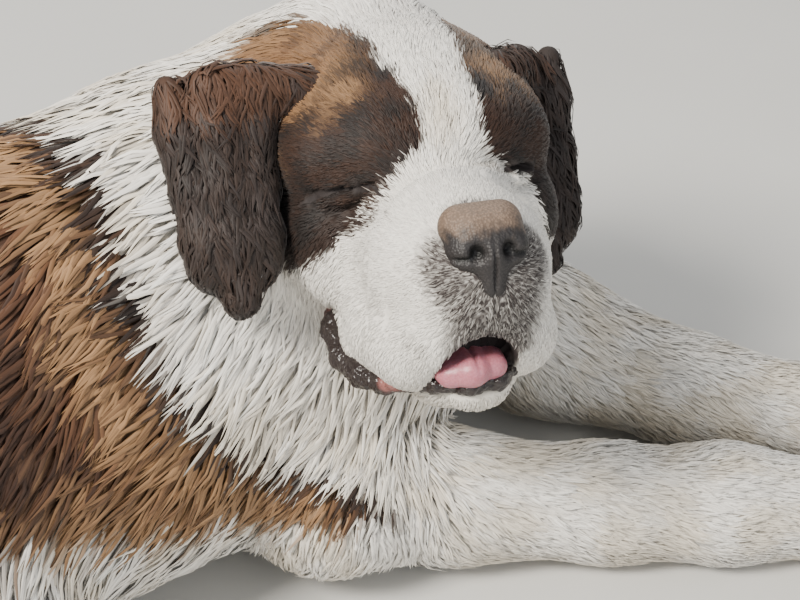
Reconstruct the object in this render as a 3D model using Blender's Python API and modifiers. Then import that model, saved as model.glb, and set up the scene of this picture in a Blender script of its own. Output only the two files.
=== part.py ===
"""A saint bernard lying on its chest with its head turned to its right, as a still, life-size model.

The dog faces +X with its spine bent, +Z is up and the floor is at zero. Sizes are in centimetres,
and each finished piece is turned to metres at the end. The flesh is a set of tapering rows of
balls under one smooth skin. It is built whole, then parted into head, neck, legs and so on by
thin cuts.
"""

import math

import bmesh
import bpy
import numpy as np
from mathutils import Euler, Matrix, Vector
from mathutils.bvhtree import BVHTree

METRES_PER_CM = 0.01
GAP = 0.03
FINE_SKIN = 0.8
WHOLE_TRIANGLES = 2800

BODY_BLEND = 1.5
FACE_BLEND = 0.7

# The head: its stop (the dip between the eyes) is the origin of the face's own frame,
# with x towards the nose, y to the dog's left and z to the crown.
STOP = Vector((22.5, 0.8, 37.3))
HEAD_TURN = -72.5
HEAD_LIFT = -21.3
HEAD_ROLL = -3.0
EYE_RADIUS = 1.25
EYE_FROM_STOP = (-3.5, 5.1, -1.9)
SLIT_HEIGHT = {"right": 0.12, "left": 0.34}

# The ears hang from behind the eyes and lie on the ruff: across, down and through.
EAR_WIDTH = 8.6
EAR_DROP = 16.6
EAR_THICKNESS = 2.8
EAR_LEAN = 2.6
EAR_MIDDLE = {"right": (-2.0, -13.6, -1.9), "left": (-6.0, 10.2, -3.8)}

FORE_WRIST = {"right": (53.0, 2.4, 0.0), "left": (53.0, 13.7, 0.0)}
FORE_HEADING = {"right": 0.0, "left": 6.0}

# The pelvis: both hind legs are set out from it, ahead, to the side and up.
PELVIS = Vector((-30.0, -23.0, 0.0))
PELVIS_HEADING = 45.0

# The long coat, for each row of the body: a lock's length and width, the room between roots,
# how far the locks stand off their core, and how much the hair runs along the row and down.
# What has no entry is short-coated and stays plain.
LONG_COAT = {
    "back": {"length": 14.0, "width": 7.2, "room": 9.2, "stand": 1.2, "along": 1.0, "down": 0.35},
    "keel": {"length": 14.0, "width": 6.8, "room": 8.4, "stand": 1.5, "along": 1.0, "down": 0.75},
    "neck": {"length": 11.0, "width": 6.0, "room": 6.4, "stand": 1.8, "along": -0.6, "down": 0.8},
    "arm": {"length": 8.5, "width": 4.8, "room": 6.4, "stand": 1.2, "along": -0.3, "down": 0.8},
    "thigh": {"length": 12.0, "width": 6.2, "room": 7.8, "stand": 1.4, "along": -0.7, "down": 0.7},
    "tail": {"length": 11.0, "width": 4.8, "room": 7.0, "stand": 1.6, "along": 1.0, "down": 0.2},
}
CORE_SHARE = 0.5
LOCK_SINK = 1.3
LOCK_THICKNESS = 1.1
LOCK_SEED = 7
# A lock's rings from root to tip: share of its length, height off the core and share of its width.
LOCK_RINGS = (0.0, 0.34, 0.72, 1.0)
LOCK_LIFTS = (0.0, 0.35, 0.8, 0.8)
LOCK_TAPER = (0.6, 1.0, 0.78, 0.0)
FLOOR_MARGIN = 1.5
BARE_MARGIN = 1.2
HEAD_COAT_START = -18.0

COAT_COLOURS = {
    "white": (0.86, 0.82, 0.74),
    "brown": (0.10, 0.05, 0.03),
    "tan": (0.42, 0.21, 0.09),
}


def clear_scene():
    """Remove every object that the scene starts with."""
    for thing in list(bpy.data.objects):
        bpy.data.objects.remove(thing, do_unlink=True)


def new_collection(name):
    """Return a new collection that hangs from the scene."""
    group = bpy.data.collections.new(name)
    bpy.context.scene.collection.children.link(group)
    return group


def paint(name, colour, roughness, metallic=0.0):
    """Return a plain material of one colour."""
    material = bpy.data.materials.new(name)
    material.use_nodes = True
    shader = material.node_tree.nodes["Principled BSDF"]
    shader.inputs["Base Color"].default_value = (*colour, 1.0)
    shader.inputs["Roughness"].default_value = roughness
    shader.inputs["Metallic"].default_value = metallic
    return material


def head_frame():
    """Return the matrix that takes the face's own frame to the dog's."""
    turn = Euler([math.radians(a) for a in (HEAD_ROLL, HEAD_LIFT, HEAD_TURN)], "XYZ")
    return Matrix.Translation(STOP) @ turn.to_matrix().to_4x4()


def pelvis_frame(side):
    """Return the matrix from ahead, outward and up at the pelvis, mirrored for the left leg."""
    turn = Matrix.Rotation(math.radians(PELVIS_HEADING), 4, "Z")
    outward = -1.0 if side == "right" else 1.0
    return Matrix.Translation(PELVIS) @ turn @ Matrix.Diagonal((1.0, outward, 1.0, 1.0))


def placed(frame, row):
    """Carry a row of balls (x, y, z, radius) from a frame of its own to the dog's."""
    return [(*(frame @ Vector(ball[:3])), ball[3]) for ball in row]


def mirrored(row):
    """Return a face row's twin on the dog's left."""
    return [(x, -y, z, radius) for x, y, z, radius in row]


def paw_toes(wrist, heading, spread, length, radius):
    """Return four toes that fan out ahead of a wrist along a heading in degrees."""
    turn = Matrix.Rotation(math.radians(heading), 4, "Z")
    rows = []
    for place in (-1.5, -0.5, 0.5, 1.5):
        reach = length - 0.5 * abs(place)
        knuckle = wrist + turn @ Vector((0.45 * length, spread * place, 0.0))
        tip = wrist + turn @ Vector((reach, spread * 1.16 * place, 0.0))
        rows.append([(*knuckle.xy, radius + 0.5, radius), (*tip.xy, radius - 0.2, radius - 0.2)])
    return rows


def body_rows():
    """Return the rows of balls of the trunk, neck, legs and tail, by name."""
    rows = {
        "back": [
            (13, 13.5, 25.5, 11.5), (4, 8.5, 26, 12), (-6, 1.5, 25, 12), (-16, -7, 23.5, 12),
            (-26, -18, 22, 12), (-33, -26, 19, 10),
        ],
        "keel": [
            (15, 14, 16, 14), (7, 10, 15.5, 15.8), (-1, 4.5, 16, 16), (-9, -1.5, 16, 15.6),
            (-17, -9, 15.5, 15), (-25, -17.5, 15, 14.5), (-31, -24, 14.5, 13.5), (-36, -30, 13, 10.5),
        ],
        "neck": [(8, 12.5, 26, 11.5), (13, 14.5, 29, 11.5), (17, 14.5, 33, 10.5)],
        "arm_right": [(9, 4, 15, 8.5), (15, 0.5, 8, 7.0), (24, 2.0, 5.3, 5.0)],
        "forearm_right": [(24, 2.0, 5.3, 5.0), (36, 2.3, 4.5, 4.3), (45, 2.3, 4.4, 4.3), (53, 2.4, 3.7, 4.0)],
        "arm_left": [(12, 24, 15, 10), (22, 23, 11, 8.6), (32, 18.5, 7.2, 6.2)],
        "forearm_left": [(32, 18.5, 7.2, 6.2), (44, 15.0, 4.8, 4.4), (53, 13.7, 3.9, 4.0)],
        "tail": [
            (-37, -31, 12, 6.0), (-45, -39, 6.6, 5.2), (-54, -46, 4.9, 4.9), (-63, -51, 4.7, 4.7),
            (-71, -53.5, 4.2, 4.2), (-77, -54, 2.8, 2.4),
        ],
    }
    for side, wrist in FORE_WRIST.items():
        toes = paw_toes(Vector(wrist), FORE_HEADING[side], 2.1, 8.4, 1.8)
        for number, row in enumerate(toes, 1):
            rows[f"foretoe_{side}_{number}"] = row
    for side in ("right", "left"):
        frame = pelvis_frame(side)
        rows[f"thigh_{side}"] = placed(frame, [(1, 8, 19, 11), (11, 9.5, 15, 9.5), (19.5, 10.5, 10.5, 7.5)])
        rows[f"shank_{side}"] = placed(frame, [(19, 11.5, 9.5, 6.5), (8, 13.5, 7.4, 5.0), (-4, 15, 4.8, 3.8)])
        rows[f"hindfoot_{side}"] = placed(frame, [(-4, 15.5, 4.0, 3.8), (5, 18.5, 3.3, 3.2), (13, 20, 3.3, 3.4)])
        ankle = frame @ Vector((13, 20, 0))
        ahead = frame @ Vector((14, 20, 0)) - ankle
        heading = math.degrees(math.atan2(ahead.y, ahead.x))
        for number, row in enumerate(paw_toes(ankle, heading, 1.9, 7.6, 1.6), 1):
            rows[f"hindtoe_{side}_{number}"] = row
    return rows


def face_rows():
    """Return the rows of balls of the skull and upper muzzle in the face's own frame."""
    middle = {
        "crown": [(-15.0, 0, -1.5, 8.8), (-9.0, 0, -0.6, 8.2), (-6.5, 0, -1.6, 7.2)],
        "bridge": [(-1.0, 0, -3.7, 3.6), (4.0, 0, -4.1, 3.6), (7.4, 0, -4.2, 3.1)],
    }
    paired = {
        "temple": [(-12.5, -4.2, 0.2, 6.0), (-8.0, -4.4, -0.2, 5.4)],
        "brow": [(-3.8, -3.6, 0.2, 3.4), (-5.2, -6.2, -0.4, 3.2)],
        "cheek": [(-5.2, -6.0, -6.4, 3.6), (-10.0, -6.0, -7.0, 5.0), (-15.0, -4.0, -7.5, 6.5)],
        "pouch": [(-4.6, -6.8, -4.9, 2.4), (-7.5, -7.4, -5.6, 2.8)],
        "whisker_pad": [(-0.5, -2.1, -6.0, 3.8), (3.5, -2.0, -6.3, 3.8), (6.9, -1.5, -6.3, 3.3)],
        "flew": [
            (-2.8, -4.2, -9.1, 2.3), (0.8, -3.8, -10.4, 2.6), (4.2, -3.3, -10.8, 2.5),
            (6.9, -2.3, -9.6, 2.1), (8.1, -1.2, -7.7, 1.7),
        ],
    }
    rows = dict(middle)
    for name, row in paired.items():
        rows[f"{name}_right"] = row
        rows[f"{name}_left"] = mirrored(row)
    return rows


def coat_of(name):
    """Return the long coat's sizes on a row, or none where the coat is short."""
    return LONG_COAT.get(name.split("_")[0])


def cored(rows):
    """Return rows thinned by the core's share of the coat, with what lies on the floor kept there."""
    cores = {}
    for name, row in rows.items():
        coat = coat_of(name)
        inset = coat["stand"] * CORE_SHARE if coat else 0.0
        cores[name] = [
            (x, y, z - (inset if z - radius < 1.0 else 0.0), radius - inset) for x, y, z, radius in row
        ]
    return cores


def row_distance(points, row):
    """Return each point's distance to the skin of a row of balls joined by tapering lengths."""
    if len(row) == 1:
        return np.linalg.norm(points - np.array(row[0][:3]), axis=1) - row[0][3]
    nearest = np.full(len(points), np.inf)
    for near, far in zip(row, row[1:]):
        start = np.array(near[:3])
        way = np.array(far[:3]) - start
        share = np.clip((points - start) @ way / (way @ way), 0.0, 1.0)
        radius = near[3] + (far[3] - near[3]) * share
        distance = np.linalg.norm(points - start - share[:, None] * way, axis=1) - radius
        nearest = np.minimum(nearest, distance)
    return nearest


def blended(distances, width):
    """Return the smooth union of several distances over a blend of a given width."""
    stack = np.stack(distances)
    lowest = stack.min(axis=0)
    return lowest - width * np.log(np.exp((lowest - stack) / width).sum(axis=0))


def flesh_distance(points, body, face):
    """Return the distance of each point to the dog's skin, which is below zero inside."""
    face_part = blended([row_distance(points, row) for row in face.values()], FACE_BLEND)
    parts = [row_distance(points, row) for row in body.values()]
    return blended(parts + [face_part], BODY_BLEND)


def unit_ball():
    """Return the vertices and faces of one ball of radius one, which every row copies."""
    mesh = bmesh.new()
    bmesh.ops.create_icosphere(mesh, subdivisions=3, radius=1.0)
    mesh.verts.index_update()
    vertices = np.array([vertex.co[:] for vertex in mesh.verts])
    faces = np.array([[vertex.index for vertex in face.verts] for face in mesh.faces])
    mesh.free()
    return vertices, faces


def ball_places(row):
    """Return balls close enough together along a row to read as one form."""
    places = []
    for near, far in zip(row, row[1:]):
        near, far = np.array(near), np.array(far)
        span = np.linalg.norm(far[:3] - near[:3])
        steps = max(2, int(span / (0.3 * min(near[3], far[3]))))
        places += [near + (far - near) * step / steps for step in range(steps + 1)]
    return np.array(places)


def one_skin(thing, voxel):
    """Remake an object as one closed skin without folds, with a voxel remesh."""
    remesh = thing.modifiers.new("one skin", "REMESH")
    remesh.mode = "VOXEL"
    remesh.voxel_size = voxel
    apply_modifiers(thing)


def blank(name, rows, voxel, group):
    """Return one closed rough form from rows of balls, made with a voxel remesh."""
    places = np.concatenate([ball_places(row) for row in rows])
    ball, faces = unit_ball()
    points = places[:, None, :3] + places[:, None, 3:] * ball[None]
    first = np.arange(len(places))[:, None, None] * len(ball)
    data = bpy.data.meshes.new(name)
    data.from_pydata(points.reshape(-1, 3), [], (faces[None] + first).reshape(-1, 3).tolist())
    thing = bpy.data.objects.new(name, data)
    group.objects.link(thing)
    one_skin(thing, voxel)
    return thing


def apply_modifiers(thing):
    """Turn an object's modifiers into its mesh."""
    graph = bpy.context.evaluated_depsgraph_get()
    graph.update()
    data = bpy.data.meshes.new_from_object(thing.evaluated_get(graph))
    thing.modifiers.clear()
    old = thing.data
    thing.data = data
    bpy.data.meshes.remove(old)


def vertices_of(thing):
    """Return an object's vertices as rows of x, y and z."""
    flat = np.empty(len(thing.data.vertices) * 3)
    thing.data.vertices.foreach_get("co", flat)
    return flat.reshape(-1, 3)


def move_vertices(thing, points):
    """Set an object's vertices."""
    thing.data.vertices.foreach_set("co", points.ravel())
    thing.data.update()


def settle(thing, distance, rounds=4, step=0.05):
    """Move each vertex straight onto the surface where a distance is zero."""
    points = vertices_of(thing)
    for _ in range(rounds):
        value = distance(points)
        slope = np.empty_like(points)
        for axis in range(3):
            nudge = np.zeros(3)
            nudge[axis] = step
            slope[:, axis] = (distance(points + nudge) - distance(points - nudge)) / (2 * step)
        steepness = np.maximum((slope ** 2).sum(axis=1), 0.25)
        move = value / steepness
        points = points - np.clip(move, -1.5, 1.5)[:, None] * slope
    move_vertices(thing, points)


def thin_out(thing, triangles):
    """Bring a mesh down to about a number of triangles."""
    thing.data.calc_loop_triangles()
    decimate = thing.modifiers.new("fewer faces", "DECIMATE")
    decimate.ratio = triangles / len(thing.data.loop_triangles)
    decimate.use_collapse_triangulate = True
    apply_modifiers(thing)


def combine(thing, other, operation, solver="MANIFOLD"):
    """Cut, join or cross an object with another and keep the result."""
    boolean = thing.modifiers.new(operation.lower(), "BOOLEAN")
    boolean.operation = operation
    boolean.object = other
    boolean.solver = solver
    apply_modifiers(thing)


def volume_within(shell):
    """Return the volume that a closed set of vertices bounds, below zero for a hollow."""
    faces = {face for vertex in shell for face in vertex.link_faces}
    return sum(face.calc_center_median().dot(face.normal) * face.calc_area() for face in faces) / 3


def keep_largest(thing):
    """Keep only the largest closed surface of a mesh."""
    mesh = bmesh.new()
    mesh.from_mesh(thing.data)
    mesh.normal_update()
    unseen = set(mesh.verts)
    shells = []
    while unseen:
        seed = unseen.pop()
        shell = {seed}
        edge = [seed]
        while edge:
            vertex = edge.pop()
            for link in vertex.link_edges:
                other = link.other_vert(vertex)
                if other in unseen:
                    unseen.remove(other)
                    shell.add(other)
                    edge.append(other)
        shells.append(shell)
    shells.sort(key=volume_within, reverse=True)
    scraps = [vertex for shell in shells[1:] for vertex in shell]
    bmesh.ops.delete(mesh, geom=scraps, context="VERTS")
    mesh.to_mesh(thing.data)
    mesh.free()


def grown(thing, amount):
    """Return a copy of an object pushed out along its normals."""
    copy = thing.copy()
    copy.data = thing.data.copy()
    for group in thing.users_collection:
        group.objects.link(copy)
    points = vertices_of(copy)
    flat = np.empty(len(points) * 3)
    copy.data.vertices.foreach_get("normal", flat)
    move_vertices(copy, points + flat.reshape(-1, 3) * amount)
    return copy


def part_off(whole, cutter, name, group):
    """Take the piece of the whole inside a cutter as a new object, and leave a thin gap."""
    piece = whole.copy()
    piece.data = whole.data.copy()
    piece.name = name
    group.objects.link(piece)
    combine(piece, cutter, "INTERSECT")
    wider = grown(cutter, GAP * 1.1)
    combine(whole, wider, "DIFFERENCE")
    bpy.data.objects.remove(wider)
    keep_largest(piece)
    keep_largest(whole)
    return piece


def as_object(name, mesh, group):
    """Put a finished bmesh in a new object."""
    data = bpy.data.meshes.new(name)
    mesh.to_mesh(data)
    mesh.free()
    thing = bpy.data.objects.new(name, data)
    group.objects.link(thing)
    return thing


def box(name, frame, size, group):
    """Return a box of a size, centred on a frame."""
    mesh = bmesh.new()
    bmesh.ops.create_cube(mesh, size=1.0, matrix=frame @ Matrix.Diagonal((*size, 1.0)))
    bmesh.ops.recalc_face_normals(mesh, faces=mesh.faces)
    return as_object(name, mesh, group)


def ellipsoid(name, frame, radii, group, segments=24, rings=16):
    """Return a ball stretched to three radii, centred on a frame."""
    mesh = bmesh.new()
    place = frame @ Matrix.Diagonal((*radii, 1.0))
    bmesh.ops.create_uvsphere(mesh, u_segments=segments, v_segments=rings, radius=1.0, matrix=place)
    return as_object(name, mesh, group)


def trim(thing, other):
    """Cut a piece clear of another by the thin gap, then by the other as it is at its sharp tips."""
    wider = grown(other, GAP * 1.1)
    combine(thing, wider, "DIFFERENCE")
    combine(thing, other, "DIFFERENCE")
    bpy.data.objects.remove(wider)
    keep_largest(thing)


def whole_dog(group):
    """Return the dog in one piece, without ears, jaw, tongue, nose and eyes."""
    body = cored(body_rows())
    face = {name: placed(head_frame(), row) for name, row in face_rows().items()}
    whole = blank("whole", list(body.values()) + list(face.values()), FINE_SKIN, group)
    settle(whole, lambda points: flesh_distance(points, body, face), 3)
    one_skin(whole, FINE_SKIN)
    keep_largest(whole)
    thin_out(whole, WHOLE_TRIANGLES)
    return whole


def lock_shape():
    """Return a lock's corners as share of length, across and through, and its faces, from a cone."""
    mesh = bmesh.new()
    bmesh.ops.create_cone(mesh, cap_ends=True, segments=4, radius1=1.0, radius2=0.0, depth=1.0,
                          matrix=Matrix.Translation((0, 0, 0.5)))
    for height in LOCK_RINGS[1:-1]:
        everything = list(mesh.verts) + list(mesh.edges) + list(mesh.faces)
        bmesh.ops.bisect_plane(mesh, geom=everything, plane_co=(0, 0, height), plane_no=(0, 0, 1))
    bmesh.ops.triangulate(mesh, faces=mesh.faces)
    mesh.verts.index_update()
    corners = []
    for vertex in mesh.verts:
        reach = math.hypot(vertex.co.x, vertex.co.y) or 1.0
        corners.append((vertex.co.z, vertex.co.x / reach, vertex.co.y / reach))
    faces = [[vertex.index for vertex in face.verts] for face in mesh.faces]
    mesh.free()
    return corners, faces


def lock_path(surface, root, lie, coat, chance):
    """Return centres, sideways and outward directions of a lock that lies along a surface."""
    spot, normal, _, _ = surface.find_nearest(root)
    bend = chance.uniform(-0.5, 0.5)
    stand = coat["stand"] * chance.uniform(0.75, 1.15)
    length = coat["length"] * chance.uniform(0.85, 1.15)
    path = []
    last = 0.0
    for share, lift in zip(LOCK_RINGS, LOCK_LIFTS):
        ahead = (lie - normal * lie.dot(normal)).normalized()
        turn = Matrix.Rotation(bend * share, 3, normal)
        ahead = turn @ ahead
        spot, normal, _, _ = surface.find_nearest(spot + ahead * length * (share - last))
        last = share
        sideways = normal.cross(ahead).normalized()
        height = -LOCK_SINK if share == 0.0 else lift * stand
        path.append((spot + normal * height, sideways, normal))
    return path


def lock_points(path, corners, coat):
    """Return the places of a lock's corners along a path."""
    points = []
    for share, across, through in corners:
        ring = min(range(len(LOCK_RINGS)), key=lambda number: abs(LOCK_RINGS[number] - share))
        centre, sideways, normal = path[ring]
        half_width = coat["width"] / 2 * LOCK_TAPER[ring]
        half_depth = LOCK_THICKNESS / 2 * LOCK_TAPER[ring]
        points.append(centre + sideways * across * half_width + normal * through * half_depth)
    return points


def crosses_itself(points, faces):
    """Tell whether any face of a lock runs through one that it doesn't touch."""
    skin = BVHTree.FromPolygons(points, faces)
    return any(not set(faces[one]) & set(faces[other]) for one, other in skin.overlap(skin))


def make_lock(name, points, faces, group):
    """Return one flat, tapered lock as a closed object."""
    mesh = bmesh.new()
    corners = [mesh.verts.new(point) for point in points]
    for face in faces:
        mesh.faces.new([corners[number] for number in face])
    bmesh.ops.recalc_face_normals(mesh, faces=mesh.faces)
    return as_object(name, mesh, group)


def scattered(thing, chance, tries):
    """Return seeded random points all over an object's skin."""
    thing.data.calc_loop_triangles()
    points = vertices_of(thing)
    corners = np.empty(len(thing.data.loop_triangles) * 3, dtype=np.int32)
    thing.data.loop_triangles.foreach_get("vertices", corners)
    triangle = points[corners.reshape(-1, 3)]
    areas = np.linalg.norm(np.cross(triangle[:, 1] - triangle[:, 0], triangle[:, 2] - triangle[:, 0]), axis=1)
    picks = chance.choice(len(areas), tries, p=areas / areas.sum())
    first, second = chance.random((2, tries, 1))
    fold = first + second > 1.0
    first, second = np.where(fold, 1.0 - first, first), np.where(fold, 1.0 - second, second)
    start = triangle[picks, 0]
    return start + first * (triangle[picks, 1] - start) + second * (triangle[picks, 2] - start)


def nearest_rows(points, rows):
    """Return the name of the row nearest to each point."""
    names = list(rows)
    distances = np.stack([row_distance(points, rows[name]) for name in names])
    return [names[number] for number in distances.argmin(axis=0)]


def run_of(row, point):
    """Return the direction of a row at its length nearest to a point."""
    best = None
    for near, far in zip(row, row[1:]):
        start, way = Vector(near[:3]), Vector(far[:3]) - Vector(near[:3])
        share = min(1.0, max(0.0, (point - start).dot(way) / way.length_squared))
        distance = (point - start - way * share).length
        if best is None or distance < best[0]:
            best = (distance, way.normalized())
    return best[1]


def is_on_head(point):
    """Tell whether a place is on the skull or face, where the coat is short."""
    ahead, aside, up = head_frame().inverted() @ Vector(point)
    return ahead > HEAD_COAT_START and abs(aside) < 10.7 and up > -15.0


def add_coat(whole, bare, group):
    """Join the long coat's locks to the whole dog, clear of the pieces that stay bare."""
    rows = dict(body_rows())
    rows.update({name: placed(head_frame(), row) for name, row in face_rows().items()})
    chance = np.random.default_rng(LOCK_SEED)
    corners, faces = lock_shape()
    surface = BVHTree.FromPolygons(*as_polygons(whole))
    bare_skins = [BVHTree.FromPolygons(*as_polygons(thing)) for thing in bare]
    roots = []
    points = scattered(whole, chance, 6000)
    for point, name in zip(points, nearest_rows(points, rows)):
        coat = coat_of(name)
        if coat is None or point[2] < FLOOR_MARGIN or is_on_head(point):
            continue
        if any(np.linalg.norm(point - other) < coat["room"] for other in roots):
            continue
        spot = Vector(point)
        lie = run_of(rows[name], spot) * coat["along"] - Vector((0, 0, coat["down"]))
        path = lock_path(surface, spot, lie, coat, chance)
        shape = lock_points(path, corners, coat)
        if crosses_itself(shape, faces):
            continue
        if any(skin.find_nearest(place, BARE_MARGIN)[0] for skin in bare_skins for place, _, _ in path):
            continue
        roots.append(point)
        make_lock(f"lock_{len(roots)}", shape, faces, group)
    union = whole.modifiers.new("coat", "BOOLEAN")
    union.operation = "UNION"
    union.operand_type = "COLLECTION"
    union.collection = group
    union.solver = "EXACT"
    union.use_self = True
    apply_modifiers(whole)
    for lock in list(group.objects):
        bpy.data.objects.remove(lock, do_unlink=True)
    keep_largest(whole)


def as_polygons(thing):
    """Return an object's vertices and faces as plain lists."""
    return [vertex.co.copy() for vertex in thing.data.vertices], [list(face.vertices) for face in thing.data.polygons]


def cut_floor(thing, group):
    """Cut off what lies below the floor, which leaves the flats that the dog rests on."""
    floor = box("floor_cutter", Matrix.Translation((0, 0, -20)), (400, 400, 40), group)
    combine(thing, floor, "DIFFERENCE")
    keep_largest(thing)


def head_cutter(group):
    """Return the box that parts the head from the neck, from the crown's back to the throat."""
    crown_back = Vector((-19.0, 0, 5.0))
    throat = Vector((-8.0, 0, -16.0))
    lean = math.atan2(throat.x - crown_back.x, crown_back.z - throat.z)
    middle = crown_back.lerp(throat, 0.5)
    depth, width, height = 40.0, 21.4, 37.6
    place = Matrix.Translation(middle) @ Matrix.Rotation(-lean, 4, "Y")
    return box("head_cutter", head_frame() @ place @ Matrix.Translation((depth / 2, 0, 0)),
               (depth, width, height), group)


def neck_cutter(group):
    """Return the drum that parts the neck and its ruff from the trunk."""
    withers = Vector((-2.0, 8.0, 37.0))
    shoulder = Vector((12.0, -8.0, 22.0))
    breast = Vector((28.0, 14.0, 12.0))
    normal = (shoulder - withers).cross(breast - withers).normalized()
    middle = Vector((13.0, 13.0, 30.0))
    base = middle - normal * normal.dot(middle - withers)
    turn = normal.to_track_quat("Z", "Y").to_matrix().to_4x4()
    mesh = bmesh.new()
    height = 40.0
    bmesh.ops.create_cone(mesh, cap_ends=True, segments=18, radius1=20.0, radius2=20.0, depth=height,
                          matrix=Matrix.Translation(base) @ turn @ Matrix.Translation((0, 0, height / 2)))
    return as_object("neck_cutter", mesh, group)


def forepaw_cutter(side, group):
    """Return the box that parts a forepaw at the wrist."""
    wrist = Vector(FORE_WRIST[side])
    turn = Matrix.Rotation(math.radians(FORE_HEADING[side]), 4, "Z")
    length, width, height = 24.0, 12.0, 20.0
    place = Matrix.Translation(wrist) @ turn @ Matrix.Translation((length / 2 + 1.5, 0, 0))
    return box(f"forepaw_cutter_{side}", place, (length, width, height), group)


def foreleg_cutter(side, group):
    """Return the box that parts a foreleg at the elbow."""
    arm = body_rows()[f"arm_{side}"]
    elbow, wrist = Vector(arm[1][:3]), Vector(FORE_WRIST[side])
    heading = math.atan2(wrist.y - elbow.y, wrist.x - elbow.x)
    back, width, top = 2.0, 17.0, elbow.z + arm[1][3] + 2.0
    length = (wrist.xy - elbow.xy).length + back + 10.0
    place = Matrix.Translation((elbow.x, elbow.y, 0)) @ Matrix.Rotation(heading, 4, "Z")
    middle = Matrix.Translation((length / 2 - back, 0, top / 2 - 1.0))
    return box(f"foreleg_cutter_{side}", place @ middle, (length, width, top + 2.0), group)


def hindpaw_cutter(side, group):
    """Return the box that parts a hind paw, outside the knee."""
    place = pelvis_frame(side) @ Matrix.Translation((20.0, 22.0, 3.0))
    return box(f"hindpaw_cutter_{side}", place, (18.0, 12.6, 8.4), group)


def hindleg_cutter(side, group):
    """Return the drum that parts thigh, shank and hock from the flank."""
    mesh = bmesh.new()
    inner, outer, radius = 9.0, 34.0, 18.6
    middle = Matrix.Translation((8.5, (inner + outer) / 2, 12.6)) @ Matrix.Rotation(math.radians(90), 4, "X")
    bmesh.ops.create_cone(mesh, cap_ends=True, segments=20, radius1=radius, radius2=radius,
                          depth=outer - inner, matrix=pelvis_frame(side) @ middle)
    bmesh.ops.recalc_face_normals(mesh, faces=mesh.faces)
    return as_object(f"hindleg_cutter_{side}", mesh, group)


def tail_cutter(group):
    """Return the box that parts the tail from the rump."""
    row = body_rows()["tail"]
    root, next_joint = Vector(row[0][:3]), Vector(row[1][:3])
    along = (next_joint - root).normalized()
    place = Matrix.Translation(root) @ along.to_track_quat("X", "Z").to_matrix().to_4x4()
    length, width = 60.0, 40.0
    return box("tail_cutter", place @ Matrix.Translation((length / 2 + 7.5, 0, 0)), (length, width, width), group)


def make_eye(side, group):
    """Return one eyeball."""
    x, y, z = EYE_FROM_STOP
    hand = -1.0 if side == "right" else 1.0
    place = head_frame() @ Matrix.Translation((x, hand * y, z))
    return ellipsoid(f"eye_{side}", place, (EYE_RADIUS,) * 3, group, 12, 8)


def make_ear(side, group):
    """Return one hanging ear: a long flap, broad at the top, hollow on the side by the head."""
    hand = -1.0 if side == "right" else 1.0
    width, drop, depth = EAR_WIDTH / 2, EAR_DROP / 2, EAR_THICKNESS / 2
    mesh = bmesh.new()
    bmesh.ops.create_uvsphere(mesh, u_segments=14, v_segments=10, radius=1.0)
    for vertex in mesh.verts:
        over, across, down = vertex.co
        narrow = 1.0 + 0.28 * max(0.0, down) - 0.3 * (0.5 - 0.5 * down) ** 2
        hollow = 0.7 * (1.0 - across ** 2) if over < 0 else 0.0
        fold = -1.3 * (across * narrow) ** 2 - EAR_LEAN * (down + 1.0)
        centre = Vector(EAR_MIDDLE[side])
        vertex.co = centre + Vector((over * depth + hollow + fold, hand * (across * width * narrow), down * drop))
    if hand < 0:
        bmesh.ops.reverse_faces(mesh, faces=mesh.faces)
    mesh.transform(head_frame())
    return as_object(f"ear_{side}", mesh, group)


def make_nose(group):
    """Return the nose leather: a broad rounded pad with two comma-shaped nostrils."""
    rows = [
        [(8.5, -1.6, -2.7, 1.7), (8.5, 1.6, -2.7, 1.7)],
        [(9.4, -0.8, -2.7, 1.5), (9.4, 0.8, -2.7, 1.5)],
        [(9.4, -1.7, -3.7, 1.5), (9.4, 1.7, -3.7, 1.5)],
        [(9.9, 0.0, -3.6, 1.4), (9.9, 0.0, -5.8, 0.95)],
    ]
    nose = blank("nose", [placed(head_frame(), row) for row in rows], 0.25, group)
    thin_out(nose, 220)
    for hand in (-1.0, 1.0):
        place = head_frame() @ Matrix.Translation((10.5, hand * 1.75, -3.5))
        hole = ellipsoid("nostril", place @ Matrix.Rotation(hand * 0.5, 4, "Z"), (1.0, 0.5, 0.6), group, 8, 6)
        combine(nose, hole, "DIFFERENCE")
        bpy.data.objects.remove(hole)
    keep_largest(nose)
    return nose


def make_jaw(group):
    """Return the lower jaw with its lip and chin."""
    rows = [
        [(-9.0, -2.2, -10.5, 3.4), (-3.0, -2.2, -12.7, 2.7), (3.0, -1.6, -13.4, 2.1), (6.2, -0.9, -13.4, 1.7)],
        [(-9.0, 2.2, -10.5, 3.4), (-3.0, 2.2, -12.7, 2.7), (3.0, 1.3, -13.4, 2.1), (6.2, 0.4, -13.4, 1.7)],
        [(-5.5, -5.6, -10.8, 1.0), (-2.2, -5.2, -12.6, 1.2), (1.0, -4.4, -13.4, 1.2)],
        [(-5.5, 5.6, -10.8, 1.0), (-2.2, 5.2, -12.6, 1.2), (1.0, 4.2, -13.4, 1.2)],
    ]
    jaw = blank("lower_jaw", [placed(head_frame(), row) for row in rows], 0.4, group)
    thin_out(jaw, 420)
    return jaw


def make_tongue(group):
    """Return the tongue, which lies on the lower lip."""
    mesh = bmesh.new()
    bmesh.ops.create_uvsphere(mesh, u_segments=16, v_segments=10, radius=1.0)
    for vertex in mesh.verts:
        along, across, up = vertex.co
        droop = 0.9 * max(0.0, along) ** 2
        crease = 0.25 * math.exp(-(across / 0.22) ** 2) * (up > 0)
        vertex.co = Vector((4.2 + 5.0 * along, -0.7 + 2.4 * across, -10.7 + 0.75 * up - droop - crease))
    mesh.transform(head_frame())
    return as_object("tongue", mesh, group)


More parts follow.
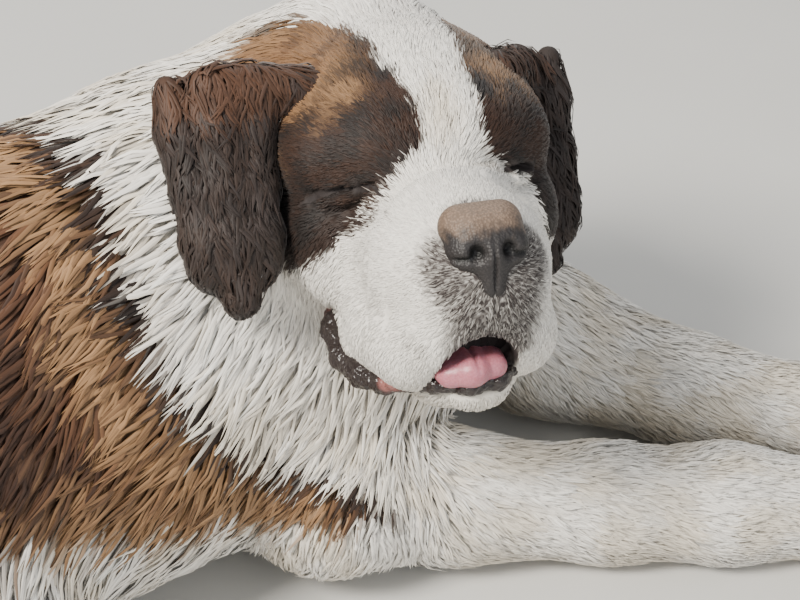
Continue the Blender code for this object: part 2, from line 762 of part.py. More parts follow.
def mouth_cutter(group):
    """Return the hollow of the mouth, open in front and below between the flews."""
    row = [(-5.0, 0, -12.0, 2.4), (0.0, 0, -11.4, 3.0), (5.0, -0.2, -11.3, 2.9), (11.0, -0.4, -12.0, 2.9)]
    cutter = blank("mouth_cutter", [placed(head_frame(), row)], 0.8, group)
    thin_out(cutter, 220)
    return cutter


def open_mouth(head, group):
    """Cut the hollow of the mouth out of the head."""
    cutter = mouth_cutter(group)
    combine(head, cutter, "DIFFERENCE")
    keep_largest(head)


def open_eye(head, eye, side, group):
    """Cut the socket and the slit between the lids out of the head."""
    socket = grown(eye, GAP * 1.2)
    combine(head, socket, "DIFFERENCE")
    bpy.data.objects.remove(socket)
    x, y, z = EYE_FROM_STOP
    hand = -1.0 if side == "right" else 1.0
    out = Matrix.Rotation(hand * math.radians(30), 4, "Z")
    place = head_frame() @ Matrix.Translation((x, hand * y, z)) @ out @ Matrix.Translation((EYE_RADIUS, 0, 0))
    slit = ellipsoid("slit", place, (1.6, 1.25, SLIT_HEIGHT[side] / 2), group, 16, 8)
    combine(head, slit, "DIFFERENCE")
    bpy.data.objects.remove(slit)
    keep_largest(head)


def in_triangles(thing):
    """Return a piece's mesh in triangles, without doubled or midway vertices."""
    mesh = bmesh.new()
    mesh.from_mesh(thing.data)
    bmesh.ops.remove_doubles(mesh, verts=mesh.verts, dist=1e-5)
    bmesh.ops.dissolve_verts(mesh, verts=[vertex for vertex in mesh.verts if len(vertex.link_edges) == 2])
    bmesh.ops.triangulate(mesh, faces=mesh.faces)
    return mesh


def finish(thing, material):
    """Give a piece its material, turn it to metres and shade it smooth."""
    mesh = in_triangles(thing)
    mesh.transform(Matrix.Scale(METRES_PER_CM, 4))
    mesh.to_mesh(thing.data)
    mesh.free()
    thing.data.materials.clear()
    thing.data.materials.append(material)
    thing.data.shade_smooth()


def stand_at_centre(things):
    """Move all pieces so that the middle of their box is over the origin."""
    corners = np.concatenate([vertices_of(thing) for thing in things])
    low, high = corners.min(axis=0), corners.max(axis=0)
    shift = -(low + high) / 2
    shift[2] = -low[2]
    for thing in things:
        move_vertices(thing, vertices_of(thing) + shift)


def build():
    """Make the dog."""
    clear_scene()
    dog = new_collection("saint_bernard")
    cutters = new_collection("cutters")
    white = paint("white_coat", COAT_COLOURS["white"], 0.9)
    brown = paint("brown_coat", COAT_COLOURS["brown"], 0.85)
    tan = paint("tan_coat", COAT_COLOURS["tan"], 0.9)
    leather = paint("nose_leather", (0.05, 0.045, 0.045), 0.5)
    flesh = paint("tongue_flesh", (0.72, 0.25, 0.28), 0.4)
    glossy = paint("eye_gloss", (0.05, 0.02, 0.01), 0.1)

    torso = whole_dog(dog)
    torso.name = "torso"
    jaw, tongue, nose = make_jaw(dog), make_tongue(dog), make_nose(dog)
    ears = {side: make_ear(side, dog) for side in ("right", "left")}
    add_coat(torso, [jaw, tongue, *ears.values()], new_collection("locks"))
    cut_floor(torso, cutters)
    pieces = {"torso": torso}
    pieces["head"] = part_off(torso, head_cutter(cutters), "head", dog)
    pieces["neck"] = part_off(torso, neck_cutter(cutters), "neck", dog)
    for side in ("right", "left"):
        for limb, cutter in (("forepaw", forepaw_cutter), ("foreleg", foreleg_cutter),
                             ("hindpaw", hindpaw_cutter), ("hindleg", hindleg_cutter)):
            name = f"{limb}_{side}"
            pieces[name] = part_off(torso, cutter(side, cutters), name, dog)
    pieces["tail"] = part_off(torso, tail_cutter(cutters), "tail", dog)

    head = pieces["head"]
    open_mouth(head, cutters)
    for side in ("right", "left"):
        eye = make_eye(side, dog)
        pieces[f"eye_{side}"] = eye
        open_eye(head, eye, side, cutters)
    trim(head, nose)
    trim(jaw, tongue)
    for other in (head, pieces["neck"], torso):
        trim(jaw, other)
    trim(tongue, head)
    pieces.update(nose=nose, lower_jaw=jaw, tongue=tongue)
    for side, ear in ears.items():
        for other in (head, pieces["neck"], torso):
            trim(ear, other)
        pieces[f"ear_{side}"] = ear

    looks = {"torso": tan, "nose": leather, "tongue": flesh, "eye_right": glossy, "eye_left": glossy,
             "ear_right": brown, "ear_left": brown}
    for name, piece in pieces.items():
        finish(piece, looks.get(name, white))
    stand_at_centre(list(pieces.values()))
    for cutter in cutters.objects:
        cutter.hide_render = True
        cutter.display_type = "WIRE"


build()
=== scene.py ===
import math

import bmesh
import bpy
import numpy as np
from mathutils import Euler, Matrix, Vector
from mathutils.kdtree import KDTree


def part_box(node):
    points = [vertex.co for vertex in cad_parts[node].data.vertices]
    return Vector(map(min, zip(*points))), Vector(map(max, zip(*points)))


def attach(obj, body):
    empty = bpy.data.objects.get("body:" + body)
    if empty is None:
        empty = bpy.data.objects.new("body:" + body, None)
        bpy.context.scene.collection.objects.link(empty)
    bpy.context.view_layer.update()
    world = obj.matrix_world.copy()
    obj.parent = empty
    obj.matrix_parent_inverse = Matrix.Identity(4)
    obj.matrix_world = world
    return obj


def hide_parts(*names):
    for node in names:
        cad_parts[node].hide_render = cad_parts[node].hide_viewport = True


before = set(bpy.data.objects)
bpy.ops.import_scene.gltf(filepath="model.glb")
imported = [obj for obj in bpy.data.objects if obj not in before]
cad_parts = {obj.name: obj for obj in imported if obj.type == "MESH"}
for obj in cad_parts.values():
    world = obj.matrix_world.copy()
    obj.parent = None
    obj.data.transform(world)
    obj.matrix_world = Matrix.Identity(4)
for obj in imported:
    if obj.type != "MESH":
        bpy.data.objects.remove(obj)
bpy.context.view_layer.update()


# ---- Where the dog lies ----
# The dog's shapes are worked out in centimetres in a frame of its own, the head's in one with
# its origin at the stop, the dip between the eyes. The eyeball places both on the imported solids.
STOP = Vector((22.5, 0.8, 37.3))
HEAD_ROLL, HEAD_LIFT, HEAD_TURN_ASIDE = math.radians(-3.0), math.radians(-21.3), math.radians(-72.5)
HEAD_ANGLES = Euler((HEAD_ROLL, HEAD_LIFT, HEAD_TURN_ASIDE), "XYZ")
HEAD = Matrix.Translation(STOP) @ HEAD_ANGLES.to_matrix().to_4x4()
EYE = {"right": (-3.5, -5.1, -1.9), "left": (-3.5, 5.1, -1.9)}
low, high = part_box("eye_right")
SHIFT = (np.array(low) + np.array(high)) * 50 - np.array(HEAD @ Vector(EYE["right"]))
HEAD_TURN = np.array(HEAD.to_3x3())


def to_row(points):
    """Turn places in the dog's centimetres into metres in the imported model's frame."""
    return (np.asarray(points, dtype=float) + SHIFT) * 0.01


def from_head(points):
    """Turn places in the head's frame into the dog's."""
    return np.asarray(points, dtype=float) @ HEAD_TURN.T + np.array(STOP)


def to_head(points):
    """Turn places in the dog's frame into the head's."""
    return (np.asarray(points, dtype=float) - np.array(STOP)) @ HEAD_TURN


# ---- Camera, floor and light ----
# A plain pale studio floor under a large soft key light from the left, with a weak fill.
camera_data = bpy.data.cameras.new("camera")
camera = bpy.data.objects.new("camera", camera_data)
bpy.context.scene.collection.objects.link(camera)
CAMERA_PLACE = np.array((20.0, -91.7, 97.7))
camera.location = to_row([CAMERA_PLACE])[0]
LOOKING_DOWN_DEGREES = 38.0
camera.rotation_euler = (math.radians(90.0 - LOOKING_DOWN_DEGREES), 0.0, 0.0)
camera_data.sensor_width = 36.0
camera_data.lens = 76.9
camera_data.clip_start = 0.05
bpy.context.scene.camera = camera


def linear(code):
    """Turn an sRGB hex colour into linear red, green, blue and alpha."""
    parts = [int(code[place:place + 2], 16) / 255 for place in (1, 3, 5)]
    return tuple(c / 12.92 if c <= 0.04045 else ((c + 0.055) / 1.055) ** 2.4 for c in parts) + (1.0,)


def shade(code):
    """Turn an sRGB hex colour into an array of linear red, green and blue."""
    return np.array(linear(code)[:3])


def add_node(material, kind, settings=None, values=None, links=None):
    """Add a shader node, set its fields and sockets, and link its inputs from other nodes' outputs."""
    node = material.node_tree.nodes.new(kind)
    for field, value in (settings or {}).items():
        setattr(node, field, value)
    for socket, value in (values or {}).items():
        node.inputs[socket].default_value = value
    for socket, (source, output) in (links or {}).items():
        material.node_tree.links.new(source.outputs[output], node.inputs[socket])
    return node


def new_material(name):
    """Return an empty node material and its Principled shader."""
    material = bpy.data.materials.new(name)
    material.use_nodes = True
    material.node_tree.nodes.clear()
    shader = add_node(material, "ShaderNodeBsdfPrincipled")
    add_node(material, "ShaderNodeOutputMaterial", links={"Surface": (shader, "BSDF")})
    return material, shader


def feed(material, shader, socket, node, output):
    """Link a node's output to a socket of the shader."""
    material.node_tree.links.new(node.outputs[output], shader.inputs[socket])


def add_grain(material, per_metre, detail):
    """Add noise of real size that lies still in a piece."""
    place = add_node(material, "ShaderNodeTexCoord")
    return add_node(material, "ShaderNodeTexNoise", values={"Scale": per_metre, "Detail": detail},
                    links={"Vector": (place, "Object")})


def mottled(material, shader, per_metre, detail, dark, light):
    """Colour a material in two tones by grain of real size, and return the node of the grain."""
    grain = add_grain(material, per_metre, detail)
    tone = add_node(material, "ShaderNodeMix", {"data_type": "RGBA"},
                    {"A": linear(dark), "B": linear(light)}, {"Factor": (grain, "Fac")})
    feed(material, shader, "Base Color", tone, "Result")
    return grain


# Painted studio paper: matt, with a faint unevenness.
paper, paper_shader = new_material("studio_paper")
PAPER_GRAINS_PER_METRE = 6.0
mottled(paper, paper_shader, PAPER_GRAINS_PER_METRE, 4.0, "#C9C8C4", "#CFCECA")
paper_shader.inputs["Roughness"].default_value = 0.9

floor_mesh = bmesh.new()
bmesh.ops.create_grid(floor_mesh, x_segments=8, y_segments=8, size=6.0)
floor_data = bpy.data.meshes.new("floor")
floor_mesh.to_mesh(floor_data)
floor_mesh.free()
floor = bpy.data.objects.new("floor", floor_data)
bpy.context.scene.collection.objects.link(floor)
floor_data.materials.append(paper)


def add_light(name, place, aim, size, power, colour):
    """Add one soft square light that points at a place."""
    light = bpy.data.lights.new(name, "AREA")
    light.size = size
    light.energy = power
    light.color = colour
    lamp = bpy.data.objects.new(name, light)
    bpy.context.scene.collection.objects.link(lamp)
    lamp.location = place
    lamp.rotation_euler = (Vector(aim) - Vector(place)).to_track_quat("-Z", "Y").to_euler()


add_light("key", (-1.4, -1.3, 2.6), (0.2, 0.0, 0.2), 0.9, 205.0, (1.0, 0.95, 0.87))
add_light("fill", (2.4, -2.2, 1.8), (0.2, 0.0, 0.2), 2.4, 40.0, (0.96, 0.98, 1.0))
add_light("rim", (0.3, 2.6, 2.4), (0.0, 0.1, 0.2), 1.8, 38.0, (1.0, 0.98, 0.95))
world = bpy.data.worlds.new("studio")
world.use_nodes = True
world.node_tree.nodes["Background"].inputs["Color"].default_value = linear("#DDE0E4")
world.node_tree.nodes["Background"].inputs["Strength"].default_value = 0.62
bpy.context.scene.world = world


# ---- Flesh ----
# The trunk, neck, legs, tail, head and ears as rows of tapering balls under one soft skin, the
# same forms as the solids, thinner by the depth of the coat that lies over them.
# Each region's hair: length, width and stand in cm, how far in the skin lies, how much the hairs
# run along the row and down, their curl, and how dense the tufts are beside other regions'.
HAIR = {
    "back": (5.5, 0.34, 1.00, 2.30, 1.0, 0.35, 0.5, 1.8),
    "keel": (5.5, 0.34, 1.10, 2.40, 1.0, 0.75, 0.6, 1.8),
    "neck": (5.0, 0.28, 0.85, 3.10, -0.6, 0.8, 0.6, 4.2),
    "arm": (3.6, 0.26, 0.80, 1.60, -0.3, 0.8, 0.5, 4.2),
    "forearm": (1.9, 0.17, 0.35, 0.60, 1.0, 0.25, 0.3, 7.0),
    "foretoe": (1.1, 0.14, 0.20, 0.30, 1.0, 0.2, 0.2, 8.0),
    "thigh": (4.6, 0.36, 1.00, 1.90, -0.7, 0.7, 0.5, 2.0),
    "shank": (2.4, 0.26, 0.45, 0.60, 1.0, 0.4, 0.3, 3.0),
    "hindfoot": (1.6, 0.20, 0.30, 0.40, 1.0, 0.2, 0.2, 4.0),
    "hindtoe": (1.1, 0.16, 0.20, 0.30, 1.0, 0.2, 0.2, 6.0),
    "tail": (5.5, 0.34, 1.30, 1.70, 1.0, 0.2, 0.5, 2.6),
    "crown": (1.5, 0.12, 0.22, 0.45, 0.0, 0.0, 0.2, 16.0),
    "temple": (1.4, 0.12, 0.20, 0.45, 0.0, 0.0, 0.2, 17.0),
    "brow": (0.8, 0.09, 0.10, 0.30, 0.0, 0.0, 0.2, 28.0),
    "bridge": (0.7, 0.08, 0.08, 0.20, 0.0, 0.0, 0.1, 30.0),
    "cheek": (1.6, 0.12, 0.26, 0.35, 0.0, 0.0, 0.3, 16.0),
    "pouch": (0.7, 0.09, 0.10, 0.25, 0.0, 0.0, 0.2, 28.0),
    "whisker": (0.7, 0.08, 0.08, 0.20, 0.0, 0.0, 0.1, 30.0),
    "flew": (0.8, 0.08, 0.09, 0.20, 0.0, 0.0, 0.2, 30.0),
    "jaw": (1.0, 0.10, 0.14, 0.20, 0.0, 0.0, 0.3, 20.0),
    "ear": (3.6, 0.24, 0.45, 0.25, 0.0, 0.0, 1.2, 9.0),
}
# The lie of the hair on the head, ahead, to the left (mirrored on the right) and up.
HEAD_LIE = {
    "crown": (-1.0, 0.1, 0.1), "temple": (-1.0, 0.2, -0.4), "brow": (-1.0, 0.3, 0.3),
    "bridge": (-1.0, 0.15, 0.1), "cheek": (-0.8, 0.2, -0.9), "pouch": (-0.8, 0.3, -0.6),
    "whisker": (-1.0, 0.25, -0.35), "flew": (-0.7, 0.15, -0.9), "jaw": (-0.7, 0.1, -0.7),
    "ear": (0.1, 0.05, -1.0),
}


def mirrored(row):
    """Return a head row's twin on the dog's left."""
    return [(x, -y, z, radius) for x, y, z, radius in row]


def toes_of(wrist, heading, spread, length, radius):
    """Return four toes that fan out ahead of a wrist."""
    ahead = np.array((math.cos(math.radians(heading)), math.sin(math.radians(heading))))
    aside = np.array((-ahead[1], ahead[0]))
    rows = []
    for place in (-1.5, -0.5, 0.5, 1.5):
        knuckle = wrist + ahead * 0.45 * length + aside * spread * place
        tip = wrist + ahead * (length - 0.5 * abs(place)) + aside * spread * 1.16 * place
        rows.append([(*knuckle, radius + 0.5, radius), (*tip, radius - 0.2, radius - 0.2)])
    return rows


body_rows = {
    "back": [
        (13, 13.5, 25.5, 11.5), (4, 8.5, 26, 12), (-6, 1.5, 25, 12), (-16, -7, 23.5, 12),
        (-26, -18, 22, 12), (-33, -26, 19, 10),
    ],
    "keel": [
        (15, 14, 16, 14), (7, 10, 15.5, 15.8), (-1, 4.5, 16, 16), (-9, -1.5, 16, 15.6),
        (-17, -9, 15.5, 15), (-25, -17.5, 15, 14.5), (-31, -24, 14.5, 13.5), (-36, -30, 13, 10.5),
    ],
    "neck": [(8, 12.5, 26, 11.5), (13, 14.5, 29, 11.5), (17, 14.5, 33, 10.5)],
    "arm_right": [(9, 4, 15, 8.5), (15, 0.5, 8, 7.0), (24, 2.0, 5.3, 5.0)],
    "forearm_right": [(24, 2.0, 5.3, 5.0), (36, 2.3, 4.5, 4.3), (45, 2.3, 4.4, 4.3), (53, 2.4, 3.7, 4.0)],
    "arm_left": [(12, 24, 15, 10), (22, 23, 11, 8.6), (32, 18.5, 7.2, 6.2)],
    "forearm_left": [(32, 18.5, 7.2, 6.2), (44, 15.0, 4.8, 4.4), (53, 13.7, 3.9, 4.0)],
    "tail": [
        (-37, -31, 12, 6.0), (-45, -39, 6.6, 5.2), (-54, -46, 4.9, 4.9), (-63, -51, 4.7, 4.7),
        (-71, -53.5, 4.2, 4.2), (-77, -54, 2.8, 2.4),
    ],
}
for side, wrist, heading in (("right", (53.0, 2.4), 0.0), ("left", (53.0, 13.7), 6.0)):
    for number, row in enumerate(toes_of(np.array(wrist), heading, 2.1, 8.4, 1.8), 1):
        body_rows[f"foretoe_{side}_{number}"] = row
for side, outward in (("right", -1.0), ("left", 1.0)):
    pelvis = Matrix.Translation((-30, -23, 0)) @ Matrix.Rotation(math.radians(45), 4, "Z")
    pelvis = pelvis @ Matrix.Diagonal((1.0, outward, 1.0, 1.0))
    hind = {
        "thigh": [(1, 8, 19, 11), (11, 9.5, 15, 9.5), (19.5, 10.5, 10.5, 7.5)],
        "shank": [(19, 11.5, 9.5, 6.5), (8, 13.5, 7.4, 5.0), (-4, 15, 4.8, 3.8)],
        "hindfoot": [(-4, 15.5, 4.0, 3.8), (5, 18.5, 3.3, 3.2), (13, 20, 3.3, 3.4)],
    }
    for name, row in hind.items():
        body_rows[f"{name}_{side}"] = [(*(pelvis @ Vector(ball[:3])), ball[3]) for ball in row]
    ankle = pelvis @ Vector((13, 20, 0))
    for number, row in enumerate(toes_of(np.array(ankle.xy), 45.0, 1.9, 7.6, 1.6), 1):
        body_rows[f"hindtoe_{side}_{number}"] = row

face_rows = {
    "crown": [(-15.0, 0, -1.5, 8.8), (-9.0, 0, -0.6, 8.2), (-6.5, 0, -1.6, 7.2)],
    "bridge": [(-1.0, 0, -4.3, 3.5), (4.0, -0.1, -4.8, 3.4), (7.2, -0.2, -4.7, 2.9)],
}
for name, row in {
    "temple": [(-12.5, -4.2, 0.2, 6.0), (-8.0, -4.4, -0.2, 5.4)],
    "brow": [(-3.8, -3.6, 0.2, 3.4), (-5.2, -6.2, -0.4, 3.2)],
    "cheek": [(-5.2, -6.0, -6.4, 3.6), (-10.0, -6.0, -7.0, 5.0), (-15.0, -4.0, -7.5, 6.5)],
    "pouch": [(-4.6, -6.8, -4.9, 2.4), (-7.5, -7.4, -5.6, 2.8)],
    "whisker": [(-0.5, -2.1, -6.0, 3.8), (3.5, -2.0, -6.3, 3.8), (6.9, -1.5, -6.3, 3.3)],
    "flew": [
        (-2.8, -4.6, -9.3, 2.3), (0.8, -4.2, -10.9, 2.6), (4.2, -3.6, -11.2, 2.5),
        (6.9, -2.4, -9.8, 2.1), (8.1, -1.2, -7.7, 1.7),
    ],
}.items():
    face_rows[f"{name}_right"] = row
    narrow = 0.84 if name in ("whisker", "flew") else 1.0
    face_rows[f"{name}_left"] = [(x, y * narrow, z, radius) for x, y, z, radius in mirrored(row)]

jaw_rows = {
    "jaw_right": [
        (-9.0, -2.2, -10.5, 3.4), (-3.0, -2.2, -12.7, 2.7), (3.0, -1.6, -13.4, 2.1), (6.2, -0.9, -13.4, 1.7),
    ],
    "jaw_left": [
        (-9.0, 2.2, -10.5, 3.4), (-3.0, 2.2, -12.7, 2.7), (3.0, 1.3, -13.4, 2.1), (6.2, 0.4, -13.4, 1.7),
    ],
    "jaw_lip_right": [(-5.5, -5.6, -10.8, 1.0), (-2.2, -5.2, -12.6, 1.2), (1.0, -4.4, -13.4, 1.2)],
    "jaw_lip_left": [(-5.5, 5.6, -10.8, 1.0), (-2.2, 5.2, -12.6, 1.2), (1.0, 4.2, -13.4, 1.2)],
}
mouth_row = [
    (-5.0, 0, -12.0, 1.6), (0.0, -0.3, -11.8, 2.3), (5.0, -0.6, -11.6, 2.5), (11.0, -0.7, -12.1, 2.6),
]

ear_rows = {}
EAR_HALF_WIDTH, EAR_HALF_LENGTH, EAR_HALF_THICKNESS = 3.8, 7.6, 1.05
EAR_MIDDLES = (("right", -1.0, (-2.4, -13.2, -1.6)), ("left", 1.0, (-7.0, 9.6, -3.0)))
for side, hand, (ahead, aside, up) in EAR_MIDDLES:
    for number, across in enumerate((-0.6, 0.0, 0.6)):
        row = []
        for down in (0.85, 0.45, 0.0, -0.45, -0.92 if across == 0.0 else -0.66):
            narrow = 1.0 + 0.28 * max(0.0, down) - 0.3 * (0.5 - 0.5 * down) ** 2
            x = ahead - 1.3 * (across * narrow) ** 2 - 2.6 * (down + 1.0) + 0.2
            y = aside + hand * across * EAR_HALF_WIDTH * narrow
            row.append((x, y, up + down * EAR_HALF_LENGTH, EAR_HALF_THICKNESS))
        ear_rows[f"ear_{side}_{number}"] = row
    top = ear_rows[f"ear_{side}_1"][0]
    ear_rows[f"ear_{side}_root"] = [(-7.5, hand * 6.6, 3.6, 1.8), (*top[:3], 1.4)]


def region_of(name):
    """Return the name of a row's region of hair."""
    return name.split("_")[0]


def joined_lengths(rows, on_head):
    """Return each length between two balls with its hair's traits, in the dog's frame."""
    lengths = []
    for name, row in rows.items():
        long, wide, stand, inset, along, down, curl, _ = HAIR[region_of(name)]
        for near, far in zip(row, row[1:]):
            start, end = np.array(near[:3], dtype=float), np.array(far[:3], dtype=float)
            if on_head:
                ahead, aside, up = HEAD_LIE[region_of(name)]
                lie = HEAD_TURN @ np.array((ahead, aside * (-1.0 if "right" in name else 1.0), up))
                start, end = from_head(start[None])[0], from_head(end[None])[0]
            else:
                way = (end - start) / np.linalg.norm(end - start)
                lie = way * along - np.array((0.0, 0.0, down))
            thin = min(inset, 0.35 * near[3]), min(inset, 0.35 * far[3])
            traits = np.array((*lie, long, wide, stand, curl))
            lengths.append((start, end - start, near[3] - thin[0], far[3] - thin[1], traits))
    return lengths


body_lengths = joined_lengths(body_rows, False)
face_lengths = joined_lengths(face_rows, True)
jaw_lengths = joined_lengths(jaw_rows, True)
ear_lengths = joined_lengths(ear_rows, True)
mouth_lengths = joined_lengths({"jaw_mouth": mouth_row}, True)


def soft_union(points, lengths, width):
    """Return the distance to the smooth union of tapering lengths, the way out and the hair's traits."""
    total = np.full(len(points), 1e-12)
    outward = np.zeros((len(points), 3))
    traits = np.zeros((len(points), 7))
    for start, way, near, far, hair in lengths:
        reach = np.linalg.norm(way) / 2 + max(near, far) + 7 * width
        close = np.nonzero(((points - (start + way / 2)) ** 2).sum(axis=1) < reach ** 2)[0]
        if not len(close):
            continue
        offset = points[close] - start
        share = np.clip(offset @ way / (way @ way), 0.0, 1.0)
        offset -= share[:, None] * way
        span = np.linalg.norm(offset, axis=1) + 1e-9
        weight = np.exp((near + (far - near) * share - span) / width)
        total[close] += weight
        outward[close] += offset * (weight / span)[:, None]
        traits[close] += weight[:, None] * hair
    outward /= np.linalg.norm(outward, axis=1)[:, None] + 1e-12
    return -width * np.log(total), outward, traits / total[:, None]


def merge(first, second, width):
    """Return the smooth union of two forms, each a distance, the way out and the traits."""
    low = np.minimum(first[0], second[0])
    one, two = np.exp((low - first[0]) / width), np.exp((low - second[0]) / width)
    total = one + two
    outward = (one[:, None] * first[1] + two[:, None] * second[1]) / total[:, None]
    traits = (one[:, None] * first[2] + two[:, None] * second[2]) / total[:, None]
    return low - width * np.log(total), outward, traits


# Folds of the skin in the head's frame, from end to end: places, height, which is below zero for
# a crease, and width, all in cm. The near cheek has more of them than the far one.
folds = [
    ([(3.2, -5.1, -4.4), (2.8, -3.2, -1.6), (2.6, -1.0, -0.7), (1.9, 2.2, -0.9), (-0.6, 5.4, -2.8),
      (-1.6, 7.2, -5.4)], 0.60, 0.7),
    ([(1.5, -4.4, -2.4), (1.3, -2.6, -0.8), (1.2, -0.6, 0.0), (0.9, 1.8, 0.0),
      (-1.2, 4.8, -1.6)], -0.60, 0.5),
    ([(0.9, -3.4, 1.5), (0.4, -0.4, 2.2), (0.2, 2.6, 1.9)], 0.12, 0.9),
    ([(-0.6, 1.0, 2.6), (-4.0, 0.6, 5.2), (-8.0, 0.0, 7.2)], -0.2, 0.9),
    ([(4.8, -4.8, -3.4), (4.2, -5.6, -6.2), (3.0, -6.2, -9.6), (2.2, -6.2, -11.6)], 0.34, 0.5),
    ([(3.8, -5.0, -3.4), (3.0, -5.9, -6.2), (1.8, -6.5, -9.6)], -0.38, 0.4),
    ([(1.6, -5.4, -4.0), (0.6, -6.4, -6.8), (-0.2, -6.9, -9.4)], -0.32, 0.45),
    ([(6.2, -4.3, -4.6), (5.8, -4.9, -7.2), (5.0, -5.4, -10.0)], -0.28, 0.4),
    ([(-2.4, -8.3, -2.2), (-2.0, -8.1, -4.0), (-1.4, -7.3, -6.4)], -0.42, 0.42),
    ([(-1.9, -7.7, -3.2), (-1.1, -6.8, -4.2), (-0.4, -5.8, -4.2)], 0.36, 0.65),
    ([(-0.6, -4.4, -1.5), (-1.4, -5.6, -1.9), (-2.4, -7.4, -2.2), (-3.2, -8.4, -2.2)], -0.3, 0.28),
    ([(-3.4, -7.4, -8.6), (-4.4, -7.0, -10.4), (-6.0, -6.2, -12.0)], 0.35, 0.7),
    ([(-1.0, 7.4, -3.4), (-1.4, 7.4, -6.6)], -0.24, 0.5),
    ([(9.5, -0.1, -5.8), (9.5, -0.1, -8.8)], -0.25, 0.25),
]
LID_SLIT = {"right": 0.07, "left": 0.22}


def eye_frame(local, side):
    """Return how far places are out of an eye, along its lids and above them, in the head's frame."""
    hand = -1.0 if side == "right" else 1.0
    turn = math.radians(30.0) * hand
    offset = local - np.array(EYE[side])
    out = offset[:, 0] * math.cos(turn) + offset[:, 1] * math.sin(turn)
    along = -offset[:, 0] * math.sin(turn) + offset[:, 1] * math.cos(turn)
    return out, along, offset[:, 2] + 0.16 * along * hand


def near_path(points, path):
    """Return the distance from places to a path of (x, y, z, radius), less its radius."""
    nearest = np.full(len(points), np.inf)
    for near, far in zip(path, path[1:]):
        start, way = np.array(near[:3]), np.array(far[:3]) - np.array(near[:3])
        share = np.clip((points - start) @ way / (way @ way), 0.0, 1.0)
        radius = near[3] + (far[3] - near[3]) * share
        nearest = np.minimum(nearest, np.linalg.norm(points - start - share[:, None] * way, axis=1) - radius)
    return nearest


def relief_of(local):
    """Return how far folds and lids lift or sink the skin at places in the head's frame."""
    lift = np.zeros(len(local))
    for path, height, width in folds:
        nearest = near_path(local, [(*place, 0.0) for place in path])
        lift += height * np.exp(-(nearest / width) ** 2)
    for side in EYE:
        out, along, height = eye_frame(local, side)
        front = (out > 0.0) * 1.0
        ring = np.hypot(along / 1.45, height / 1.0)
        lift += front * 0.34 * np.exp(-((ring - 0.62) / 0.42) ** 2)
        lift -= front * 0.28 * np.exp(-((ring - 1.45) / 0.3) ** 2) * (height < 0.3)
    return lift


def eye_slit(local):
    """Return the distance to the opening between the lids, below zero in it."""
    nearest = np.full(len(local), 9.0)
    for side in EYE:
        out, along, height = eye_frame(local, side)
        height = height + 0.1 * along ** 2 - 0.12
        half = LID_SLIT[side]
        slit = np.maximum(np.hypot(along / 1.25, height / (half + 0.02)) * half - half, 0.3 - out)
        nearest = np.minimum(nearest, slit)
    return nearest


BODY_BLEND, FACE_BLEND, JAW_BLEND, LIP_BLEND, MOUTH_EDGE, NECK_BLEND = 1.2, 0.7, 0.6, 0.12, 0.25, 0.7


def flesh(points, with_relief=True):
    """Return the distance to the dog's skin at places in its frame, the way out and the hair's traits."""
    body = soft_union(points, body_lengths, BODY_BLEND)
    from_head_middle = points - np.array((16.0, 7.0, 33.0))
    near_head = np.nonzero((from_head_middle ** 2).sum(axis=1) < 32.0 ** 2)[0]
    if not len(near_head):
        return body
    close = points[near_head]
    local = to_head(close)
    face = soft_union(close, face_lengths, FACE_BLEND)
    if with_relief:
        face = (face[0] - relief_of(local), face[1], face[2])
    mouth = soft_union(close, mouth_lengths, FACE_BLEND)
    high = np.maximum(face[0], -mouth[0])
    solid, hollow = np.exp((face[0] - high) / MOUTH_EDGE), np.exp((-mouth[0] - high) / MOUTH_EDGE)
    outward = (solid[:, None] * face[1] - hollow[:, None] * mouth[1]) / (solid + hollow)[:, None]
    face = (high + MOUTH_EDGE * np.log(solid + hollow), outward, face[2])
    face = merge(face, soft_union(close, jaw_lengths, JAW_BLEND), LIP_BLEND)
    trunk = tuple(part[near_head] for part in body)
    whole = merge(trunk, face, NECK_BLEND)
    for all_points, here in zip(body, whole):
        all_points[near_head] = here
    if with_relief:
        slit = eye_slit(local)
        opened = np.maximum(body[0][near_head], -slit)
        body[0][near_head] = np.where(local[:, 0] > -8.0, opened, body[0][near_head])
    return body


# ---- Skin ----
# One skin over the whole dog, made by a voxel remesh of the rows and drawn onto the soft union,
# finer on the face, where lids, lips and folds show through short hair.
def new_piece(name, points, faces):
    """Return an object made of places in the dog's frame and faces of three or four corners."""
    data = bpy.data.meshes.new(name)
    counts = np.full(len(faces), faces.shape[1])
    data.vertices.add(len(points))
    data.vertices.foreach_set("co", to_row(points).ravel())
    data.loops.add(faces.size)
    data.loops.foreach_set("vertex_index", faces.ravel().astype(np.int32))
    data.polygons.add(len(faces))
    data.polygons.foreach_set("loop_start", (np.cumsum(counts) - counts).astype(np.int32))
    data.update(calc_edges=True)
    data.shade_smooth()
    thing = bpy.data.objects.new(name, data)
    bpy.context.scene.collection.objects.link(thing)
    return thing


def remade(thing, voxel):
    """Remake an object as one closed skin with a voxel remesh."""
    remesh = thing.modifiers.new("one skin", "REMESH")
    remesh.mode = "VOXEL"
    remesh.voxel_size = voxel * 0.01
    graph = bpy.context.evaluated_depsgraph_get()
    data = bpy.data.meshes.new_from_object(thing.evaluated_get(graph))
    thing.modifiers.clear()
    thing.data = data


def places_of(thing):
    """Return an object's vertices in the dog's frame."""
    flat = np.empty(len(thing.data.vertices) * 3)
    thing.data.vertices.foreach_get("co", flat)
    return flat.reshape(-1, 3) * 100 - SHIFT


